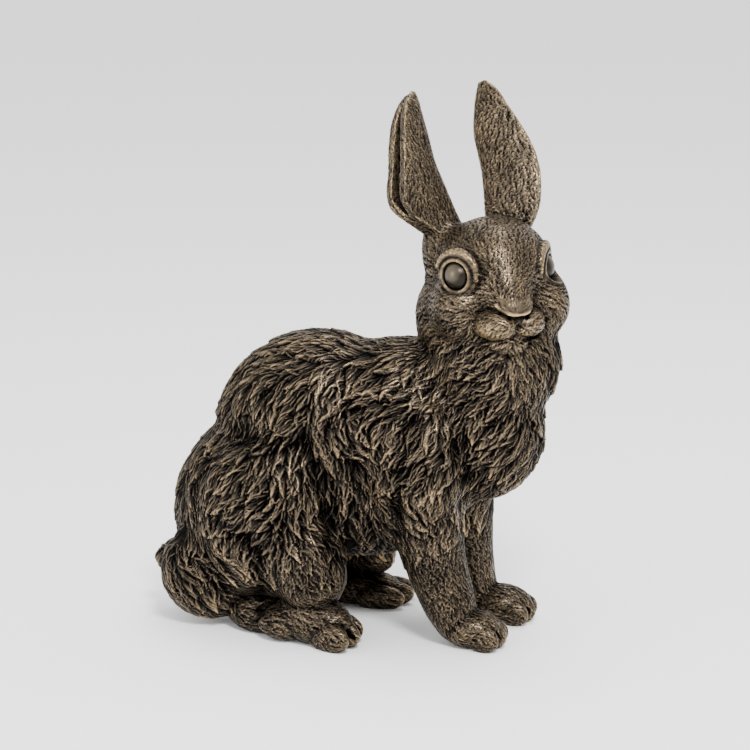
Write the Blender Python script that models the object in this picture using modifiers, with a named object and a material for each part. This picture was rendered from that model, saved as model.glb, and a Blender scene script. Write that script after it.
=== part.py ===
"""A seated rabbit with raised ears and its head turned to its right, cast in bronze as one piece.

Metres, +Z up. The rabbit's chest points along +X and its left side along +Y. The origin is on the
floor, below the middle of the statue's box.
"""

import math

import bmesh
import bpy
import numpy as np
from mathutils import Euler, Matrix, Vector

# Driving dimension: from the soles to the tip of the taller ear. The figure's pose, proportions and
# carving are shares of it. They are given in design millimetres, which come out at a little over
# one real millimetre each when the last step sets the rabbit to this height.
STATUE_HEIGHT = 0.400

# How finely the figure is worked, and over what distance its masses melt into each other.
BLOCKED_OUT_GRAIN = 3.2
DETAIL_GRAIN = 2.0
BLOCKED_OUT_SOFTNESS = 15.7
DETAIL_SOFTNESS = 4.0
TRIANGLE_BUDGET = 9500

# The head is turned to the rabbit's right and tipped towards that shoulder.
HEAD_PLACE = (101.9, -19.1, 272.3)
HEAD_TURN = -56.0
HEAD_TIP = 1.0

# The face looks a little less far round than the skull and ears do.
FACE_SHIFT = (0, -2.3, 0)
FACE_TURN = 7.0

# One eye, in the face's own frame: forward, left, up from the middle between both eyes.
EYE_SET = (1.0, 34.5, 0.0)
EYE_OUTWARD = 45.0
EYE_RADIUS = 11.0
EYE_DEPTH = 5.6
LID_RADIUS = 11.2
LID_THICKNESS = 1.8
BROW_RADIUS = 16.0
BROW_THICKNESS = 3.8

EAR_WALL = 6.5

# Where the front paws stand, and how much is trimmed off under all paws for flat soles.
PAWS = ((82, -25), (83, 42))
SOLE_LEVEL = 1.5

# The toes of the hind feet, right and left: their middle's Y, then their height and half height.
HIND_TOES = ((-57, 11, 12), (50, 9, 10))

# How an ear opens from its root to its tip: share of the length, then millimetres from the ear's
# axis to the fold, to the rims, and half the gap between both rims.
NEAR_EAR = (
    (0.0, 10, 8, 3),
    (0.08, 10, 16, 3),
    (0.17, 8, 27, 4),
    (0.25, 6, 34, 7),
    (0.34, 4, 35.5, 9),
    (0.5, 1, 29.5, 8.5),
    (0.7, 1, 22.5, 8),
    (0.86, 1, 15, 6),
    (0.95, 1, 8, 4),
    (1.0, 0, 2, 2),
)
FAR_EAR = (
    (0.0, 16, 13, 5),
    (0.13, 15, 21, 8),
    (0.27, 13, 25, 9.5),
    (0.4, 11.5, 26.5, 9.5),
    (0.53, 11.5, 24, 9),
    (0.67, 11.5, 19, 8),
    (0.8, 8.5, 13.5, 7),
    (0.92, 4.5, 8.5, 5),
    (1.0, 1, 2, 2),
)

# Creases between the big forms of the body: where each runs, how wide and how deep it is. They
# are for the right side and hold for the left side as its mirror image.
CREASES = (
    (((-90, -50, 146), (-62, -60, 148), (-34, -61, 146)), 9, 4.0),
    (((-34, -61, 146), (-17, -58, 113), (-10, -57, 87), (-10, -70, 53)), 8, 4.0),
    (((46, -54, 170), (40, -62, 143), (34, -60, 113), (32, -50, 84)), 9, 5.0),
    (((74, -42, 150), (84, -34, 124)), 8, 3.0),
)
TAIL_CREASE = ((-94, -75, 86), (-72, -78, 80), (-60, -72, 64), (-60, -65, 43), (-70, -54, 22))
TAIL_CREASE_WIDTH = 7
TAIL_CREASE_DEPTH = 4.0

# Locks of fur: how long and wide one is, how far its neighbours' roots are, how steep its edge.
LOCK_LENGTH = 42.0
LOCK_WIDTH = 20.0
LOCK_SPACING = 15.0
LOCK_HEIGHT = 1.7

# The way the fur lies: a place on the coat, the direction of its hairs and how far the locks
# stand proud. Rows are for the right side and hold for the left side as its mirror image.
COAT = (
    ((-20, 0, 218), (-1.0, 0, -0.1), 2.6),
    ((40, 0, 236), (-0.8, 0, -0.6), 2.2),
    ((-95, 0, 180), (-0.7, 0, -0.7), 2.8),
    ((-146, 0, 110), (-0.2, 0, -1.0), 2.8),
    ((5, -50, 195), (-0.8, -0.2, -0.6), 2.8),
    ((-5, -58, 140), (0.45, 0, -0.9), 2.8),
    ((-75, -60, 150), (-0.5, -0.2, -0.8), 3.0),
    ((-62, -80, 90), (-0.55, 0, -0.8), 3.4),
    ((-30, -80, 48), (-0.7, 0, -0.7), 2.6),
    ((0, -45, 74), (0.2, 0, -1.0), 2.6),
    ((48, -62, 145), (-0.35, 0, -0.9), 3.0),
    ((44, -58, 100), (0.1, 0, -1.0), 2.2),
    ((62, -46, 50), (0.1, 0, -1.0), 0.5),
    ((72, -27, 15), (0.5, 0, -0.6), 0.0),
    ((98, -38, 162), (-0.6, -0.3, -0.8), 3.0),
    ((124, 0, 165), (-0.2, 0, -1.0), 3.2),
    ((95, -45, 212), (-0.6, -0.2, -0.8), 2.8),
    ((130, -5, 215), (-0.2, 0, -1.0), 3.6),
    ((-110, -62, 40), (0.6, 0, -0.8), 3.0),
    ((-155, -22, 42), (-0.6, 0.3, -0.6), 2.2),
    ((-26, -58, 24), (1.0, 0, -0.2), 0.2),
    ((-75, -45, 10), (1.0, 0, -0.2), 0.6),
    ((0, 0, 60), (-1.0, 0, 0.0), 0.6),
)

BODY = Matrix.Identity(4)
HEAD = (
    Matrix.Translation(HEAD_PLACE)
    @ Matrix.Rotation(math.radians(HEAD_TURN), 4, "Z")
    @ Matrix.Rotation(math.radians(HEAD_TIP), 4, "X")
)
FACE = HEAD @ Matrix.Translation(FACE_SHIFT) @ Matrix.Rotation(math.radians(FACE_TURN), 4, "Z")

BRONZE = {"Base Color": (0.16, 0.12, 0.085, 1.0), "Metallic": 0.85, "Roughness": 0.5}


def clear_scene():
    """Removes whatever the file holds."""
    for obj in list(bpy.data.objects):
        bpy.data.objects.remove(obj)


def unit_ball():
    """A ball of radius 1, which every ellipsoid of clay is stretched from."""
    ball = bmesh.new()
    bmesh.ops.create_uvsphere(ball, u_segments=28, v_segments=14, radius=1.0)
    mesh = bpy.data.meshes.new("unit_ball")
    ball.to_mesh(mesh)
    ball.free()
    return mesh


def ellipsoid(clay, centre, radii, turn=(0.0, 0.0, 0.0), frame=BODY):
    """Adds one ellipsoid of clay. Centre and radii are in the frame's millimetres, turn in degrees."""
    spin = Euler([math.radians(a) for a in turn]).to_matrix().to_4x4()
    ball = unit_ball()
    ball.transform(frame @ Matrix.Translation(centre) @ spin @ Matrix.Diagonal((*radii, 1.0)))
    clay.from_mesh(ball)
    bpy.data.meshes.remove(ball)


def limb(clay, stations, frame=BODY, step=0.3):
    """Adds a tapering limb: balls of clay along the line through stations of (x, y, z, radius)."""
    for start, end in zip(stations, stations[1:]):
        start, end = Vector(start), Vector(end)
        gap = step * min(start.w, end.w)
        count = max(1, math.ceil((end.xyz - start.xyz).length / gap))
        for k in range(count + 1):
            ball = start.lerp(end, k / count)
            ellipsoid(clay, ball.xyz, [ball.w] * 3, frame=frame)


def trunk(clay):
    """The rump, arched back, ribs, belly, chest and neck."""
    ellipsoid(clay, (-88, 0, 82), (64, 62, 70))
    ellipsoid(clay, (-40, 0, 136), (82, 60, 81))
    ellipsoid(clay, (20, 2, 146), (74, 55, 70))
    ellipsoid(clay, (-14, 0, 98), (72, 50, 44))
    ellipsoid(clay, (80, 5, 156), (45, 44, 54))
    ellipsoid(clay, (90, 0, 204), (47, 43, 45))
    ellipsoid(clay, (63, 2, 236), (31.5, 38, 36))


def fore_limbs(clay):
    """Shoulders, straight forelegs."""
    ellipsoid(clay, (44, -38, 134), (36, 24, 48))
    ellipsoid(clay, (38, -36, 98), (28, 20, 26))
    ellipsoid(clay, (52, 42, 132), (34, 22, 44))
    limb(clay, [(49, -27, 92, 26), (56, -27, 58, 22.5), (65, -26, 33, 20), (71, -25, 18, 16.5)])
    limb(clay, [(52, 38, 98, 25), (57, 40, 50, 20), (61, 41, 27, 18), (66, 42, 17, 16)])


def hind_limbs(clay):
    """Haunches and knees."""
    ellipsoid(clay, (-64, -44, 88), (54, 34, 62), (0, 12, 0))
    ellipsoid(clay, (-30, -54, 58), (28, 24, 38), (0, -8, 0))
    ellipsoid(clay, (-66, 44, 88), (52, 33, 62), (0, 12, 0))
    ellipsoid(clay, (-31, 54, 56), (26, 22, 38), (0, -8, 0))


def tail(clay):
    """The round brush of the tail, turned to the rabbit's right."""
    ellipsoid(clay, (-112, -34, 40), (40, 30, 36), (0, 0, 20))
    ellipsoid(clay, (-144, -20, 46), (22, 14, 14))


def feet(clay):
    """Front paws and the long hind feet, toes turned out."""
    for x, y in PAWS:
        ellipsoid(clay, (x, y, 14), (23, 17.5, 14))
        for k in (-1, 0, 1):
            ellipsoid(clay, (x + 14 - 2 * abs(k), y + 10.5 * k, 10), (12, 7, 10), (0, 0, 7 * k))
    ellipsoid(clay, (-28, -54, 18), (34, 19, 18), (0, 0, -16))
    ellipsoid(clay, (-30, 48, 13), (32, 18, 13), (0, 0, 16))
    for middle, height, radius in HIND_TOES:
        side = math.copysign(1, middle)
        ellipsoid(clay, (-74, 40 * side, 14), (28, 18, 15), (0, 0, 18 * side))
        for k in (-1, 0, 1):
            toe = (-8 - 3 * abs(k), middle + 12 * k * side, height)
            ellipsoid(clay, toe, (20, 8, radius), (0, 0, (16 + 6 * k) * side))


def skull(clay):
    """Skull, cheeks, forehead and the roots of the ears, in the head's frame."""
    ellipsoid(clay, (-24, 0, 0), (44, 40, 35), frame=HEAD)
    ellipsoid(clay, (-26, 0, -28), (34, 46, 28), frame=HEAD)
    limb(clay, [(-8, 0, 6, 26), (8, 0, -10, 21), (18, 0, -19, 14)], frame=FACE)
    for side in (-1, 1):
        ellipsoid(clay, (-12, 31 * side, -26), (28, 19, 25), frame=HEAD)
    ellipsoid(clay, (-48, -2, -6), (28, 37, 32), (0, -15, 0), frame=HEAD)
    ellipsoid(clay, (-48, -31.5, 5), (18, 15, 30), (0, -20, 0), frame=HEAD)
    ellipsoid(clay, (-46, 18, 11), (18, 13, 22), (0, -20, 0), frame=HEAD)


def muzzle(clay):
    """Whisker pads, nose and chin, in the face's frame."""
    ellipsoid(clay, (25, 0, -19), (9, 12.5, 7), (0, 20, 0), frame=FACE)
    ellipsoid(clay, (10, 0, -48), (15, 15, 10), frame=FACE)
    for side in (-1, 1):
        ellipsoid(clay, (14, 12 * side, -33.5), (19, 14.5, 11), (0, 0, -14 * side), frame=FACE)


def eye_axes(side):
    """Where an eye sits in the face's frame: its front, then outward, forward and up."""
    out = math.radians(EYE_OUTWARD * side)
    outward = Vector((math.cos(out), math.sin(out), 0))
    front = Vector((EYE_SET[0], EYE_SET[1] * side, EYE_SET[2]))
    forward = Vector((-outward.y, outward.x, 0)) * -side
    return front, outward, forward, Vector((0, 0, 1))


def ring(clay, side, radius, thickness, sunk, start=0.0, end=360.0):
    """A ring of clay round an eye, from one angle to another; 0 is forward and 90 is up."""
    front, outward, forward, up = eye_axes(side)
    for k in range(33):
        turn = math.radians(start + (end - start) * k / 32)
        spot = front - outward * sunk + radius * (math.cos(turn) * forward + math.sin(turn) * up)
        ellipsoid(clay, spot, [thickness] * 3, frame=FACE)


def eye_surrounds(clay):
    """Lids, and the brow that runs over each eye and down before it."""
    for side in (-1, 1):
        ring(clay, side, LID_RADIUS + 1.5, 4.0, 3.0)
        ring(clay, side, BROW_RADIUS, BROW_THICKNESS, 2.0, -20, 160)
        ring(clay, side, LID_RADIUS, LID_THICKNESS, 0.0)


def curve_through(stations, values, share):
    """The height at one share of a smooth curve through values at stations."""
    slopes = np.gradient(values, stations)
    k = min(int(np.searchsorted(stations, share, side="right")) - 1, len(stations) - 2)
    span = stations[k + 1] - stations[k]
    t = (share - stations[k]) / span
    from_start = (1 + 2 * t) * (1 - t) ** 2 * values[k] + t * (1 - t) ** 2 * span * slopes[k]
    from_end = t**2 * (3 - 2 * t) * values[k + 1] + t**2 * (t - 1) * span * slopes[k + 1]
    return from_start + from_end


def ear(clay, root, tip, shape, outward):
    """One ear: a leaf folded along its length, as a grid bent by formula and given a wall."""
    root, tip = Vector(root), Vector(tip)
    axis = (tip - root).normalized()
    turn = math.radians(outward)
    opening = Vector((math.cos(turn), math.sin(turn), 0))
    opening = (opening - axis * opening.dot(axis)).normalized()
    beside = axis.cross(opening)
    stations, folds, rims, gaps = zip(*shape)
    leaf = bmesh.new()
    bmesh.ops.create_grid(leaf, x_segments=20, y_segments=40, size=1.0)
    for vert in leaf.verts:
        across, along = vert.co.x * math.pi / 2, (vert.co.y + 1) / 2
        fold, rim, gap = (curve_through(stations, sizes, along) for sizes in (folds, rims, gaps))
        out = -fold + (fold + rim) * (1 - math.cos(across))
        vert.co = root.lerp(tip, along) + opening * out + beside * gap * math.sin(across)
    mesh = bpy.data.meshes.new("ear")
    leaf.to_mesh(mesh)
    leaf.free()
    solid = baked(mesh, {"SOLIDIFY": {"thickness": EAR_WALL, "offset": 0.0}})
    solid.transform(HEAD)
    clay.from_mesh(solid)


def ears(clay):
    """Both ears, open to the sides and a little forward."""
    ear(clay, (-46, -26, 16), (-100, -39, 112), NEAR_EAR, -68)
    ear(clay, (-46, 20.5, 21.5), (-100, 15, 117), FAR_EAR, 68)


def baked(mesh, modifiers):
    """The mesh with modifiers applied, given as their types and settings."""
    obj = bpy.data.objects.new(mesh.name, mesh)
    bpy.context.scene.collection.objects.link(obj)
    for kind, settings in modifiers.items():
        modifier = obj.modifiers.new(kind.lower(), kind)
        for name, value in settings.items():
            setattr(modifier, name, value)
    bpy.context.view_layer.update()
    graph = bpy.context.evaluated_depsgraph_get()
    result = bpy.data.meshes.new_from_object(obj.evaluated_get(graph))
    bpy.data.objects.remove(obj)
    return result


def skinned(clay, grain, softness):
    """The clay as one skin: overlapping shapes fused by a voxel remesh, then softened."""
    mesh = bpy.data.meshes.new("clay")
    clay.to_mesh(mesh)
    clay.free()
    fuse = {"mode": "VOXEL", "voxel_size": grain}
    rounds = round((softness / grain) ** 2)
    return baked(mesh, {"REMESH": fuse, "SMOOTH": {"factor": 0.5, "iterations": rounds}})


def read_points(mesh, what="co"):
    """Places or normals of a mesh's vertices as an array."""
    flat = np.empty(len(mesh.vertices) * 3, dtype=np.float32)
    mesh.vertices.foreach_get(what, flat)
    return flat.reshape(-1, 3).astype(float)


def write_points(mesh, points):
    """Moves a mesh's vertices to the given places."""
    mesh.vertices.foreach_set("co", points.astype(np.float32).ravel())
    mesh.update()


def engrave(mesh, path, width, depth, frame=BODY):
    """Presses a groove into the skin along a path of points in the frame's millimetres."""
    points, normals = read_points(mesh), read_points(mesh, "normal")
    stops = np.array([(frame @ Vector(stop))[:] for stop in path])
    nearest = np.full(len(points), np.inf)
    for start, end in zip(stops, stops[1:]):
        line = end - start
        share = np.clip((points - start) @ line / (line @ line), 0, 1)
        nearest = np.minimum(nearest, np.linalg.norm(points - start - share[:, None] * line, axis=1))
    points -= normals * (depth * np.exp(-((nearest / width) ** 2)))[:, None]
    write_points(mesh, points)


def carve_face(mesh):
    """Nostrils, the cleft lip and the corners of the mouth."""
    for side in (-1, 1):
        engrave(mesh, [(20, 14 * side, -23), (29, 7 * side, -26), (33, 0, -28)], 2.2, 2.4, FACE)
        engrave(mesh, [(30, 0, -41), (21, 13 * side, -45), (2, 27 * side, -40)], 2.6, 2.8, FACE)
        engrave(mesh, [(-3, 28 * side, -40), (-3, 30 * side, -26)], 3.5, 3.0, FACE)
    engrave(mesh, [(34, 0, -28), (32, 0, -42)], 2.0, 2.4, FACE)


def carve_creases(mesh):
    """Valleys between haunch, flank, shoulder and chest, and between the tail and the haunch."""
    for path, width, depth in CREASES:
        engrave(mesh, path, width, depth)
        engrave(mesh, [(x, -y, z) for x, y, z in path], width, depth)
    engrave(mesh, TAIL_CREASE, TAIL_CREASE_WIDTH, TAIL_CREASE_DEPTH)


def carve_toes(mesh):
    """Creases between the toes of all four paws."""
    for x, y in PAWS:
        for k in (-0.5, 0.5):
            engrave(mesh, [(x + 6, y + 10 * k, 24), (x + 27, y + 13 * k, 8)], 2.6, 2.6)
    for middle, height, radius in HIND_TOES:
        side = math.copysign(1, middle)
        for k in (-0.5, 0.5):
            start = (-22, middle + (11 * k - 4) * side, height + 1.75 * radius)
            end = (14, middle + (15 * k + 3) * side, radius / 2)
            engrave(mesh, [start, end], 2.8, 2.8)


def carve_eyes(mesh):
    """Sinks the skin inside each lid onto a smooth eyeball."""
    points = read_points(mesh)
    for side in (-1, 1):
        front, outward, _, _ = eye_axes(side)
        front, outward = np.array((FACE @ front)[:]), np.array((FACE.to_3x3() @ outward)[:])
        offset = points - front
        height = offset @ outward
        around = np.linalg.norm(offset - height[:, None] * outward, axis=1)
        inside = (around < LID_RADIUS - LID_THICKNESS) & (abs(height) < EYE_RADIUS)
        ball = np.sqrt(EYE_RADIUS**2 - np.minimum(around, EYE_RADIUS) ** 2) - EYE_DEPTH
        points += ((ball - height) * inside)[:, None] * outward
    write_points(mesh, points)


def coat_at(points, normals):
    """The lie of the fur at places on the skin: unit directions along it, and lock heights."""
    rows = [(place, lie, proud) for place, lie, proud in COAT]
    rows += [((x, -y, z), (a, -b, c), proud) for (x, y, z), (a, b, c), proud in rows if y]
    places = np.array([row[0] for row in rows], dtype=float)
    lies = np.array([Vector(row[1]).normalized()[:] for row in rows])
    proud = np.array([row[2] for row in rows])
    away = ((points[:, None, :] - places[None]) ** 2).sum(2)
    weight = 1 / (away + 60.0) ** 2
    weight /= weight.sum(1)[:, None]
    lie = weight @ lies
    lie -= normals * (lie * normals).sum(1)[:, None]
    lie /= np.maximum(np.linalg.norm(lie, axis=1), 1e-6)[:, None]
    height = LOCK_HEIGHT * (weight @ proud)
    in_head = points @ np.array(HEAD.inverted().to_3x3()).T + np.array(HEAD.inverted().translation)
    bare = np.clip((in_head[:, 2] + 62) / 12, 0, 1) * np.clip((in_head[:, 0] + 78) / 14, 0, 1)
    bare = np.maximum(bare, np.clip((in_head[:, 2] - 12) / 10, 0, 1))
    return lie, height * (1 - bare)


def scattered(points, spacing, rng):
    """Picks vertices in random order that keep a distance from those picked before."""
    chosen = []
    cells = {}
    for k in rng.permutation(len(points)):
        cell = tuple(np.floor(points[k] / spacing).astype(int))
        near = [
            other
            for dx in (-1, 0, 1)
            for dy in (-1, 0, 1)
            for dz in (-1, 0, 1)
            for other in cells.get((cell[0] + dx, cell[1] + dy, cell[2] + dz), ())
        ]
        if all(((points[k] - points[other]) ** 2).sum() > spacing**2 for other in near):
            cells.setdefault(cell, []).append(k)
            chosen.append(k)
    return chosen


def comb(mesh):
    """Raises overlapping locks of fur that follow the lie of the coat."""
    points, normals = read_points(mesh), read_points(mesh, "normal")
    lie, proud = coat_at(points, normals)
    rng = np.random.default_rng(7)
    relief = np.zeros(len(points))
    for seed in scattered(points, LOCK_SPACING, rng):
        if proud[seed] < 0.4:
            continue
        length, width = LOCK_LENGTH * rng.uniform(0.8, 1.25), LOCK_WIDTH * rng.uniform(0.8, 1.2)
        bend = width * rng.uniform(-0.35, 0.35)
        offset = points - points[seed]
        near = np.flatnonzero((offset**2).sum(1) < (length * 0.8) ** 2)
        near = near[(normals[near] @ normals[seed]) > 0.2]
        along = offset[near] @ lie[seed] / length + 0.5
        beside = offset[near] @ np.cross(normals[seed], lie[seed]) - bend * (along - 0.5) ** 2
        taper = np.sqrt(np.clip(1 - np.clip((along - 0.5) / 0.5, 0, 1) ** 2, 0, 1))
        half = 0.5 * width * np.clip(0.6 + along, 0, 1) * taper + 1e-6
        dome = np.clip(1 - (beside / half) ** 2, 0, 1) ** 0.5
        height = proud[seed] * np.clip(along, 0, 1) ** 0.8 * dome * (along > 0) * (along < 1)
        relief[near] = np.maximum(relief[near], height * rng.uniform(0.75, 1.1))
    points += normals * (relief - 0.45 * proud)[:, None]
    write_points(mesh, points)


def coarsened(mesh):
    """The skin with as few triangles as its forms need."""
    mesh.calc_loop_triangles()
    ratio = TRIANGLE_BUDGET / len(mesh.loop_triangles)
    return baked(mesh, {"DECIMATE": {"ratio": ratio}})


def shell_from(vert):
    """All vertices that edges join to one vertex."""
    shell, edge_of_search = {vert}, [vert]
    while edge_of_search:
        for edge in edge_of_search.pop().link_edges:
            other = [end for end in edge.verts if end not in shell]
            shell.update(other)
            edge_of_search.extend(other)
    return shell


def without_bubbles(body):
    """Keeps the outer skin and removes bubbles that were closed inside the clay."""
    left, shells = set(body.verts), []
    while left:
        shells.append(shell_from(next(iter(left))))
        left -= shells[-1]
    outer = max(shells, key=len)
    bubbles = [vert for vert in body.verts if vert not in outer]
    bmesh.ops.delete(body, geom=bubbles, context="VERTS")


def seated(mesh):
    """Cuts flat soles under the paws, then puts the statue's box on the origin in metres."""
    body = bmesh.new()
    body.from_mesh(mesh)
    without_bubbles(body)
    bmesh.ops.bisect_plane(
        body,
        geom=body.verts[:] + body.edges[:] + body.faces[:],
        plane_co=(0, 0, SOLE_LEVEL),
        plane_no=(0, 0, -1),
        clear_outer=True,
        dist=0.001,
    )
    outlines = [edge for edge in body.edges if edge.is_boundary]
    bmesh.ops.triangle_fill(body, edges=outlines, use_beauty=True, normal=(0, 0, -1))
    bmesh.ops.triangulate(body, faces=body.faces[:])
    low = [min(v.co[k] for v in body.verts) for k in range(3)]
    high = [max(v.co[k] for v in body.verts) for k in range(3)]
    middle = [(low[k] + high[k]) / 2 for k in range(2)]
    bmesh.ops.translate(body, verts=body.verts, vec=(-middle[0], -middle[1], -low[2]))
    bmesh.ops.scale(body, verts=body.verts, vec=[STATUE_HEIGHT / (high[2] - low[2])] * 3)
    bmesh.ops.recalc_face_normals(body, faces=body.faces[:])
    body.to_mesh(mesh)
    body.free()
    return mesh


def bronze():
    """The metal the statue is cast in."""
    material = bpy.data.materials.new("patinated_bronze")
    material.use_nodes = True
    shader = material.node_tree.nodes["Principled BSDF"]
    for name, value in BRONZE.items():
        shader.inputs[name].default_value = value
    return material


def main():
    """Builds the statue."""
    clear_scene()
    clay = bmesh.new()
    for block_out in (trunk, fore_limbs, hind_limbs, tail, skull):
        block_out(clay)
    blocked_out = skinned(clay, BLOCKED_OUT_GRAIN, BLOCKED_OUT_SOFTNESS)
    clay = bmesh.new()
    clay.from_mesh(blocked_out)
    for detail in (feet, muzzle, eye_surrounds, ears):
        detail(clay)
    skin = skinned(clay, DETAIL_GRAIN, DETAIL_SOFTNESS)
    carve_creases(skin)
    carve_face(skin)
    carve_toes(skin)
    carve_eyes(skin)
    comb(skin)
    statue = bpy.data.objects.new("rabbit_statue", seated(coarsened(skin)))
    statue.data.materials.append(bronze())
    casting = bpy.data.collections.new("bronze_rabbit")
    bpy.context.scene.collection.children.link(casting)
    casting.objects.link(statue)


main()
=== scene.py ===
"""Dresses the bronze rabbit: its cast form, its combed fur, its rubbed patina and the studio round it."""

import logging
import math
from dataclasses import dataclass, field, fields
from enum import Enum

import bpy
import numpy as np
from mathutils import Euler, Matrix, Vector


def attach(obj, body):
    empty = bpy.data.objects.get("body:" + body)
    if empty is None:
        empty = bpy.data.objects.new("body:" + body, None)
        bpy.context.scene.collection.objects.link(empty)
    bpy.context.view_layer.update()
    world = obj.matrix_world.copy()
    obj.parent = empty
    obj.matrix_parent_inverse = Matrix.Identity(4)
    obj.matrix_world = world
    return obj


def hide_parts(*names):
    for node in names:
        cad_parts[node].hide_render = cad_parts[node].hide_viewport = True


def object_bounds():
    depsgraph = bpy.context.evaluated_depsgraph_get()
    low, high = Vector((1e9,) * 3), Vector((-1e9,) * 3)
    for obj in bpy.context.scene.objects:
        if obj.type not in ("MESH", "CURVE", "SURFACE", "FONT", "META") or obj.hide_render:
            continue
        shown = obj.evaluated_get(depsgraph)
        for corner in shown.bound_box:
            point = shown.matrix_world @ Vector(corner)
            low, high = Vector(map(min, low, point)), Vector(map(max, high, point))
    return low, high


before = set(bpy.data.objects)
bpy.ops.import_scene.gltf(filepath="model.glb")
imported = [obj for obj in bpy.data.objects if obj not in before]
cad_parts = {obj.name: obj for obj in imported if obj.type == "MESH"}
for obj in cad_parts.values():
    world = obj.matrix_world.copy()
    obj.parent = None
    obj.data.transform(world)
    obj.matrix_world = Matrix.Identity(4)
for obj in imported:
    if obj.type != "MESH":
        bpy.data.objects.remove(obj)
CAD_BOX = [list(corner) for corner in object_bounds()]
NODE = "rabbit_statue"
BODY_NAME = "root"
PHOTO_PIXELS = 750

log = logging.getLogger("bronze_rabbit")

Triple = tuple[float, float, float]
Path = tuple[Triple, ...]
Plane = tuple[Triple, Triple]
ORIGIN = (0.0, 0.0, 0.0)
UP = (0.0, 0.0, 1.0)


class Side(Enum):
    """The rabbit's own sides, as the sign that its left has along the body's Y."""

    RIGHT = -1
    LEFT = 1


class Section(Enum):
    """The closed pieces that the casting is cut into."""

    EARS = "ears"
    HEAD = "head"
    CHEST = "chest"
    FORELEGS = "forelegs"
    BACK = "back"
    RIGHT_HAUNCH = "right_haunch_and_tail"
    LEFT_HAUNCH = "left_haunch"


class CoatLength(Enum):
    """How long the fur is on a stretch of the coat, as a share of the flank's."""

    LONG = 1.0
    MEDIUM = 0.6
    SHORT = 0.36


@dataclass(frozen=True)
class DesignBox:
    """The statue's box in design millimetres, which the frame's box is matched with.

    Attributes:
        low: Lowest corner; its height is the level that the soles are trimmed at.
        high: Highest corner, at the tip of the left ear.
    """

    low: Triple = (-164.97, -80.19, 1.5)
    high: Triple = (142.14, 79.01, 391.64)

    def scale(self) -> float:
        """Metres for each design millimetre."""
        return (CAD_BOX[1][2] - CAD_BOX[0][2]) / (self.high[2] - self.low[2])

    def to_frame(self) -> Matrix:
        """Works out how the design lies in the frame.

        Returns:
            The matrix from design millimetres to the frame's metres.
        """
        middle, floor = (
            Vector(((low[0] + high[0]) / 2, (low[1] + high[1]) / 2, low[2]))
            for low, high in ((self.low, self.high), CAD_BOX)
        )
        return Matrix.Translation(floor) @ Matrix.Scale(self.scale(), 4) @ Matrix.Translation(-middle)


@dataclass(frozen=True)
class HeadPose:
    """Where the head sits on the neck, how it is turned, and how the face sits on the head.

    Attributes:
        place: Middle between both eyes, in design millimetres.
        turn: Degrees round the vertical; below zero is towards the rabbit's right.
        tip: Degrees that the head leans towards its right shoulder.
        face_shift: Forward, left and up from the head's middle to the face's.
        face_turn: Degrees that the face looks less far round than the skull.
    """

    place: Triple = (101.9, -19.1, 272.3)
    turn: float = -56.0
    tip: float = 1.0
    face_shift: Triple = (0.0, -2.3, 0.0)
    face_turn: float = 7.0

    def skull(self) -> Matrix:
        """Works out how the skull lies on the body.

        Returns:
            The matrix from the skull's forward, left and up to the body's frame.
        """
        turned = Matrix.Rotation(math.radians(self.turn), 4, "Z")
        tipped = Matrix.Rotation(math.radians(self.tip), 4, "X")
        return Matrix.Translation(self.place) @ turned @ tipped

    def face(self) -> Matrix:
        """The matrix from the face's forward, left and up to the body's frame."""
        turned = Matrix.Rotation(math.radians(self.face_turn), 4, "Z")
        return self.skull() @ Matrix.Translation(self.face_shift) @ turned


DESIGN = DesignBox()
UPRIGHT = Matrix.Identity(4)
HEAD = HeadPose().skull()
FACE = HeadPose().face()


def only(*objects: bpy.types.Object) -> None:
    """Leaves just these objects selected.

    Args:
        objects: The objects; the first of them becomes the active one.
    """
    bpy.ops.object.select_all(action="DESELECT")
    for obj in objects:
        obj.select_set(True)
    bpy.context.view_layer.objects.active = objects[0]


def apply_modifiers(obj: bpy.types.Object) -> None:
    """Applies every modifier of an object, in order.

    Args:
        obj: The object.
    """
    only(obj)
    for modifier in list(obj.modifiers):
        bpy.ops.object.modifier_apply(modifier=modifier.name)


def mirrored(path: Path, side: Side) -> list[Triple]:
    """A path on one side of the statue, where it is given for the left."""
    return [(x, y * side.value, z) for x, y, z in path]


@dataclass(frozen=True)
class Mass:
    """One ellipsoid of clay.

    Attributes:
        centre: Its middle, in the millimetres of the frame that it is laid on in.
        radii: Its half lengths along its own axes.
        turn: Its rotation in that frame, in degrees.
    """

    centre: Triple
    radii: Triple
    turn: Triple = ORIGIN

    def on(self, side: Side) -> "Mass":
        """Mirrors the mass, where it is given for the left.

        Args:
            side: The side that it is wanted for.

        Returns:
            The mass there.
        """
        round_x, round_y, round_z = self.turn
        turn = (round_x * side.value, round_y, round_z * side.value)
        return Mass(mirrored((self.centre,), side)[0], self.radii, turn)

    def lay_on(self, clay: "Clay", pose: Matrix = UPRIGHT) -> None:
        """Lays the ellipsoid on.

        Args:
            clay: The clay that it joins.
            pose: The frame that its values are given in.
        """
        spin = pose.to_3x3() @ Euler([math.radians(angle) for angle in self.turn]).to_matrix()
        bpy.ops.mesh.primitive_uv_sphere_add(
            segments=28,
            ring_count=14,
            radius=1.0,
            location=pose @ Vector(self.centre),
            rotation=spin.to_euler(),
            scale=self.radii,
        )
        clay.lumps.append(bpy.context.object)


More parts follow.
